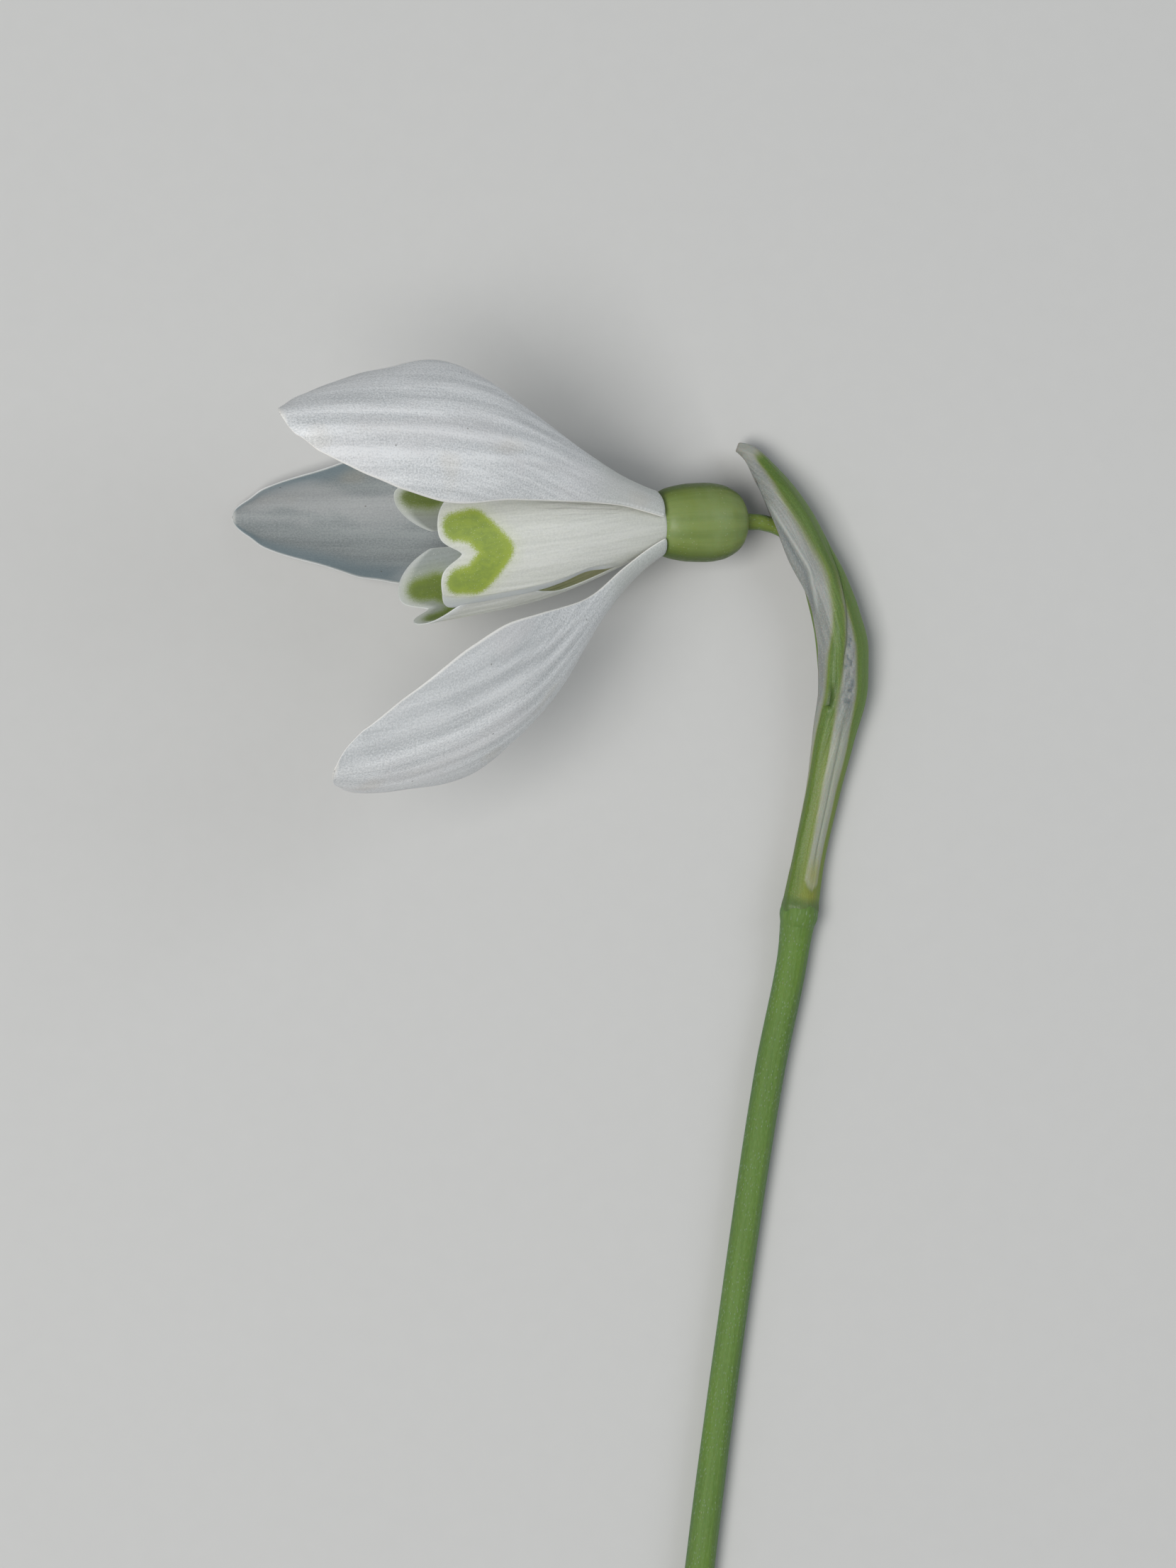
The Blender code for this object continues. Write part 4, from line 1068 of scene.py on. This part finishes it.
def ovary_look(colours):
    """Olive green with faint lengthwise lines, a pale bloom, painted light on top, painted shade at the sides
    and below, and tiny glossy specks.
    """
    look = Look("ovary", 0.3, 0.15, 0.5)
    green, upward = np.array(colours.ovary_green), look.held("upward")
    line = look.noise(26.0, 0.12, 3, 0.6, 0.3)
    cloud = look.noise(5.0, 0.7, 3, 0.6)
    grain = look.noise(60.0, 5.0, 2, 0.6)
    # A cloudy pale bloom, and painted light where the ovary faces up.
    bloom_and_top_light = look.total(
        0.0, (look.between(upward, 0.4, 0.95), 0.42), (look.math("SUBTRACT", cloud, 0.5), 0.7), clamp=True)
    speck = look.in_patches(look.dots(34.0, 3.0, 0.06, 0.13), 6.0, 0.9, 0.5, 0.66)
    colour = look.coated(
        look.mix(look.between(line), green * (0.84, 0.88, 0.8), green * (1.2, 1.15, 1.3)),
        (bloom_and_top_light, 1.0, (0.235, 0.31, 0.135)),
        # Painted shade at the sides and underneath.
        (look.between(upward, 0.75, 0.3), 0.9, green * (0.3, 0.42, 0.05)),
        (speck, 0.3, (0.45, 0.52, 0.28)))
    relief = look.total(0.0, (grain, 0.5), (line, 0.5), (speck, 0.6))
    roughness = look.total(look.between(grain, start=0.36, end=0.46), (speck, -0.15))
    return look.finish(colour, roughness, relief, 0.025, 0.7)


def spathe_look(colours):
    """Green keels, dry grey-white membranes with lengthwise threads, yellowish seams between them, and
    painted shade and a painted highlight.
    """
    look = Look("spathe", 0.45, 0.2, 0.5)
    green, grey = np.array(colours.keel_green), np.array(colours.membrane_grey)
    along = look.held("along")
    thread = look.noise(7.0, 0.35, 3, 0.6, 0.3)
    broad = look.noise(2.0, 0.25, 2, 0.5)
    grain = look.noise(12.0, 9.0, 2, 0.6)
    tone = look.noise(5.0, 0.2, 3, 0.6)
    skin = look.coated(
        look.mix(look.between(thread), grey * (0.86, 0.87, 0.87), grey * (1.14, 1.12, 1.10)),
        (look.between(broad, 0.45, 0.7), 0.35, (0.22, 0.23, 0.205)),
        # Painted shade in the crumples of the dry membrane.
        (look.between(look.held("crumple"), 0.25, 0.9), 0.8, (0.12, 0.15, 0.155)),
        (look.between(along, 0.45, 0.3), 0.75, (0.37, 0.395, 0.30)),
        # Painted shade in the hollow beside the fold, and a painted highlight along the fold.
        ("hollow", 0.6, (0.14, 0.165, 0.175)),
        ("fold", 0.5, (0.44, 0.46, 0.43)),
        (look.between(grain, 0.48, 0.7), 0.3, (0.42, 0.44, 0.42)))
    leaf = look.coated(
        look.mix(look.between(tone), green * (0.82, 0.85, 0.85), green * (1.25, 1.15, 1.2)),
        (look.between(along, 0.42, 0.25), 0.6, green * (0.92, 0.92, 0.28)),
        (look.between(along, 0.5, 0.75), 0.5, green * (0.72, 0.74, 0.6)),
        ("side", 0.7, green * (1.45, 1.5, 1.3)),
        (look.dots(7.0, 4.5, 0.07, 0.16), 0.2, (0.36, 0.46, 0.24)),
        (look.between(grain, 0.45, 0.7), 0.25, green * (1.8, 1.55, 2.0)),
        (look.between(grain, 0.5, 0.3), 0.25, green * (0.6, 0.65, 0.6)))
    keel = look.total(look.held("keel"), (look.math("SUBTRACT", thread, 0.5), 0.5))
    colour = look.coated(
        look.mix(look.between(keel, 0.15, 0.85), skin, leaf),
        ("yellow", 0.65, (0.29, 0.30, 0.05)),
        # Painted shade in the dip at the front keel, in the crease, in the seam beside the front keel and in
        # the groove between the keels.
        ("shade", 0.55, (0.045, 0.085, 0.008)),
        ("crease", 0.75, (0.03, 0.055, 0.01)),
        (look.between(along, 0.03, 0.012), 0.85, (0.082, 0.145, 0.036)),
        (look.between(along, 0.95, 0.98), 0.7, (0.32, 0.33, 0.29)))
    relief = look.total(0.0, (grain, 0.4), (thread, 0.8))
    return look.finish(colour, look.between(grain, start=0.4, end=0.55), relief, 0.035, 0.8)


def stamen_look(colours):
    """A pale filament and an orange anther with a grainy skin."""
    look = Look("stamen", 0.4, 0.2, 0.3)
    orange = np.array(colours.anther_orange)
    grain = look.noise(14.0, 7.0, 3, 0.7)
    warm = look.mix(look.between(grain), orange * (0.8, 0.75, 0.7), orange * (1.2, 1.25, 1.4))
    colour = look.coated(
        look.mix(look.held("anther"), (0.62, 0.64, 0.48), warm),
        ("groove", 0.6, (0.30, 0.13, 0.02)))
    return look.finish(colour, look.between(grain, start=0.5, end=0.7), grain, 0.03, 0.9)


def style_look():
    """Pale greenish white, greener at the base."""
    look = Look("style", 0.45, 0.25, 0.4)
    line = look.noise(12.0, 0.4, 2, 0.6)
    colour = look.coated(
        look.mix(look.between(line), (0.55, 0.62, 0.42), (0.72, 0.76, 0.60)),
        (look.between(look.held("along"), 0.3, 0.0), 1.0, (0.30, 0.42, 0.12)))
    return look.finish(colour, look.between(line, start=0.42, end=0.55), line, 0.02, 0.7)


def floor_look(colour):
    """A matt pale surface with a barely visible tooth."""
    look = Look("floor", 0.2)
    look.set("Roughness", 0.85)
    place = look.add("ShaderNodeTexCoord", {}).outputs["Object"]
    tooth = look.add("ShaderNodeTexNoise", {"Vector": place, "Scale": 900, "Detail": 3}).outputs[0]
    tone = look.mix(tooth, [c * 0.985 for c in colour], [min(c * 1.015, 1) for c in colour])
    look.tree.links.new(tone, look.shader.inputs["Base Color"])
    return look.material


def deliver(piece, look, slot, *nodes):
    """Give a piece its material, the body it rides on and the CAD nodes it stands for. The slot is not used.
    """
    piece.data.materials.append(look)
    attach(piece, BODY)
    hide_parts(*nodes)


def lay_stem(name, knots, shape, greens, flecks, streaks):
    """A tube along a stem's route, whose radius is the route's own times shape(turn, distance along)."""
    rows, around = GRIDS[name]
    route, length = smooth_route(knots, rows)
    turn = turns(around)
    along = np.linspace(0, length, rows)
    radii = route[:, 3:] * shape(turn, along[:, None])
    piece = stalk(name, rings_along(route[:, :3], radii), along, dict(upward=-np.cos(turn)))
    deliver(piece, stem_look(name, *greens, flecks, streaks), name, name)


# ---------------------------------------------------------------- operators


class SNOWDROP_OT_scape(bpy.types.Operator):
    """The flower stem, with low lengthwise ribs and its swelling under the spathe"""

    bl_idname = "snowdrop.scape"
    bl_label = "Scape"

    def execute(self, context):
        """A tube along the scape's route."""

        def ribbed(turn, along):
            """Low ribs round the stem and slow waves along it, drawn in at the cut end."""
            ribs = 0.012 * np.cos(7 * turn + 0.6) + 0.006 * np.cos(17 * turn)
            share = 1 + ribs - 0.012 + 0.008 * ripples(0 * along, along, 5.0, 31, 12)
            share[:len(CUT_EDGE)] *= np.array(CUT_EDGE)[:, None]
            return share

        colours = context.scene.snowdrop_colours
        greens = (colours.stem_green, colours.stem_yellow)
        lay_stem("scape", SCAPE_ROUTE, ribbed, greens, flecks=26.0, streaks=26.0)
        return {"FINISHED"}


class SNOWDROP_OT_pedicel(bpy.types.Operator):
    """The thin stalk from inside the spathe to the ovary"""

    bl_idname = "snowdrop.pedicel"
    bl_label = "Pedicel"

    def execute(self, context):
        """A tube along the pedicel's route."""

        def flared(turn, along):
            """Low ribs round the stalk, a little wider where it meets the ovary."""
            return 0.99 + 0.012 * np.cos(5 * turn) + 0.15 * np.exp(-along / 0.7)

        colours = context.scene.snowdrop_colours
        knots = [(*centre, PEDICEL_RADIUS) for centre in PEDICEL_ROUTE]
        greens = (colours.pedicel_green, colours.pedicel_yellow)
        lay_stem("pedicel", knots, flared, greens, flecks=12.0, streaks=16.0)
        return {"FINISHED"}


class SNOWDROP_OT_spathe(bpy.types.Operator):
    """The sheath with two green keels and dry membranes between them"""

    bl_idname = "snowdrop.spathe"
    bl_label = "Spathe"

    def execute(self, context):
        """A shell over the spathe's surface."""
        piece = build_spathe(context.scene.snowdrop_sizes)
        deliver(piece, spathe_look(context.scene.snowdrop_colours), "spathe", "spathe")
        return {"FINISHED"}


class SNOWDROP_OT_ovary(bpy.types.Operator):
    """The green ovary between the pedicel and the tepals"""

    bl_idname = "snowdrop.ovary"
    bl_label = "Ovary"

    def execute(self, context):
        """A turned form with six faint lobes."""

        def lobes(turn, ahead):
            """Six lobes and finer ribs, strongest at the waist."""
            return 1 + hump(2.4, 1.8, ahead) * (0.0025 * np.cos(6 * turn) + 0.0015 * np.cos(23 * turn))

        rows, around = GRIDS["ovary"]
        turn = turns(around, np.pi)
        base = JUNCTION - OVARY_LENGTH * OVARY_AXIS
        rings, ahead = rings_turned(OVARY_PROFILE, base, OVARY_AXIS, rows, turn, lobes)
        piece = stalk("ovary", rings, ahead, dict(upward=np.cos(turn)))
        deliver(piece, ovary_look(context.scene.snowdrop_colours), "ovary", "ovary")
        return {"FINISHED"}


class SNOWDROP_OT_outer_tepals(bpy.types.Operator):
    """The three large white outer tepals"""

    bl_idname = "snowdrop.outer_tepals"
    bl_label = "Outer tepals"

    def execute(self, context):
        """One shell for each outer tepal."""
        for name, tepal in OUTER_TEPALS.items():
            piece = build_outer_tepal(name, context.scene.snowdrop_sizes)
            look = outer_tepal_look(name, tepal, context.scene.snowdrop_colours)
            deliver(piece, look, "outer_tepal", name)
        return {"FINISHED"}


class SNOWDROP_OT_inner_tepals(bpy.types.Operator):
    """The cup of three notched inner tepals with green marks"""

    bl_idname = "snowdrop.inner_tepals"
    bl_label = "Inner tepals"

    def execute(self, context):
        """One shell for each inner tepal."""
        for name, tepal in INNER_TEPALS.items():
            piece = build_inner_tepal(name, context.scene.snowdrop_sizes)
            look = inner_tepal_look(name, tepal, context.scene.snowdrop_colours)
            deliver(piece, look, "inner_tepal", name)
        return {"FINISHED"}


class SNOWDROP_OT_stamens(bpy.types.Operator):
    """Six stamens with pointed orange anthers"""

    bl_idname = "snowdrop.stamens"
    bl_label = "Stamens"

    def execute(self, context):
        """A turned form for each, with two grooves along the anther."""

        def lobes(turn, ahead):
            """1 on the filament; on the anther, two deep and two shallow grooves round it."""
            deep = 0.14 * (0.5 - 0.5 * np.cos(2 * turn)) ** 6
            shallow = 0.05 * (0.5 + 0.5 * np.cos(4 * turn)) ** 2
            return 1 - soft_step(0.9, 1.4, ahead) * (deep + shallow)

        look = stamen_look(context.scene.snowdrop_colours)
        rows, around = GRIDS["stamen"]
        turn = turns(around, np.pi)
        lean = math.radians(STAMEN_LEAN)
        for number in range(STAMENS):
            radial, _ = spokes(FIRST_STAMEN + 360 * number / STAMENS)
            base = JUNCTION + JOIN_GAP * AXIS + STAMEN_RING * radial
            axis = math.cos(lean) * AXIS - math.sin(lean) * radial
            rings, ahead = rings_turned(STAMEN_PROFILE, base, axis, rows, turn, lobes)
            row = ahead[:, None]
            values = dict(
                anther=soft_step(0.82, 1.0, row),
                groove=(0.5 - 0.5 * np.cos(2 * turn)) ** 8 * soft_step(1.0, 1.4, row))
            name = f"stamen_{number + 1}"
            deliver(stalk(name, rings, ahead, values), look, "stamen", name)
        return {"FINISHED"}


class SNOWDROP_OT_style(bpy.types.Operator):
    """The pale style in the middle of the stamens"""

    bl_idname = "snowdrop.style"
    bl_label = "Style"

    def execute(self, context):
        """A turned form along the flower's axis."""
        rows, around = GRIDS["style"]
        base = JUNCTION + JOIN_GAP * AXIS
        rings, ahead = rings_turned(STYLE_PROFILE, base, AXIS, rows, turns(around, np.pi))
        piece = stalk("style", rings, ahead, dict(along=ahead[:, None] / STYLE_PROFILE[-1][0]))
        deliver(piece, style_look(), "style", "style")
        return {"FINISHED"}


class SNOWDROP_OT_stage(bpy.types.Operator):
    """The pale floor, the soft lights and the camera"""

    bl_idname = "snowdrop.stage"
    bl_label = "Stage"

    def execute(self, context):
        """A floor just under the flower, two area lights, a pale world and a camera that looks down."""
        stage = context.scene.snowdrop_stage
        low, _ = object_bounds()
        side, level = FLOOR_HALF_SIDE, low.z - FLOOR_GAP
        mesh = bpy.data.meshes.new("floor")
        corners = [(-side, -side), (side, -side), (side, side), (-side, side)]
        mesh.from_pydata([(x, y, level) for x, y in corners], [], [(0, 1, 2, 3)])
        mesh.materials.append(floor_look(stage.floor_colour))
        floor = bpy.data.objects.new("floor", mesh)
        context.scene.collection.objects.link(floor)
        floor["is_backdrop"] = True

        world = bpy.data.worlds.new("pale_room")
        world.use_nodes = True
        background = world.node_tree.nodes["Background"]
        background.inputs["Color"].default_value = ROOM_COLOUR
        background.inputs["Strength"].default_value = ROOM_STRENGTH
        context.scene.world = world

        def softbox(name, power, place, size, colour):
            """A square area light that looks at the middle of the frame."""
            lamp = bpy.data.lights.new(name, "AREA")
            lamp.energy = power
            lamp.size = size
            lamp.color = colour
            made = bpy.data.objects.new(name, lamp)
            made.location = place
            made.rotation_mode = "QUATERNION"
            made.rotation_quaternion = (-Vector(place)).to_track_quat("-Z", "Y")
            context.scene.collection.objects.link(made)

        softbox("key", stage.key_power, **KEY_LIGHT)
        softbox("fill", stage.fill_power, **FILL_LIGHT)

        lens = bpy.data.cameras.new("camera")
        lens.sensor_width = SENSOR_WIDTH
        lens.lens = SENSOR_WIDTH * (stage.camera_height - VIEW_LEVEL) / stage.view_height
        lens.clip_start, lens.clip_end = SIGHT
        camera = bpy.data.objects.new("camera", lens)
        camera.location = (*VIEW_CENTRE, stage.camera_height)
        context.scene.collection.objects.link(camera)
        context.scene.camera = camera
        context.scene.view_settings.view_transform = "Standard"
        return {"FINISHED"}


OPERATORS = (
    SNOWDROP_OT_scape, SNOWDROP_OT_pedicel, SNOWDROP_OT_spathe, SNOWDROP_OT_ovary, SNOWDROP_OT_outer_tepals,
    SNOWDROP_OT_inner_tepals, SNOWDROP_OT_stamens, SNOWDROP_OT_style, SNOWDROP_OT_stage,
)


class SNOWDROP_PT_panel(bpy.types.Panel):
    """The flower's pieces and settings in the sidebar"""

    bl_label = "Snowdrop"
    bl_idname = "SNOWDROP_PT_panel"
    bl_space_type = "VIEW_3D"
    bl_region_type = "UI"
    bl_category = "Snowdrop"

    def draw(self, context):
        """A button for each operator and a field for each setting."""
        column = self.layout.column()
        for operator in OPERATORS:
            column.operator(operator.bl_idname)
        for name, _ in SETTINGS:
            settings = getattr(context.scene, name)
            for key in settings.bl_rna.properties.keys():
                if key not in ("rna_type", "name"):
                    column.prop(settings, key)


SETTINGS = (
    ("snowdrop_sizes", SnowdropSizes),
    ("snowdrop_colours", SnowdropColours),
    ("snowdrop_stage", SnowdropStage),
)


def register():
    """Register the classes and give the scene its settings."""
    for name, group in SETTINGS:
        bpy.utils.register_class(group)
        setattr(bpy.types.Scene, name, bpy.props.PointerProperty(type=group))
    for made in (*OPERATORS, SNOWDROP_PT_panel):
        bpy.utils.register_class(made)


def unregister():
    """Take the settings and the classes away again."""
    for made in (SNOWDROP_PT_panel, *reversed(OPERATORS)):
        bpy.utils.unregister_class(made)
    for name, group in reversed(SETTINGS):
        delattr(bpy.types.Scene, name)
        bpy.utils.unregister_class(group)


def main():
    """Build every piece and the stage."""
    register()
    for operator in OPERATORS:
        group, name = operator.bl_idname.split(".")
        getattr(getattr(bpy.ops, group), name)()


if __name__ == "__main__":
    main()
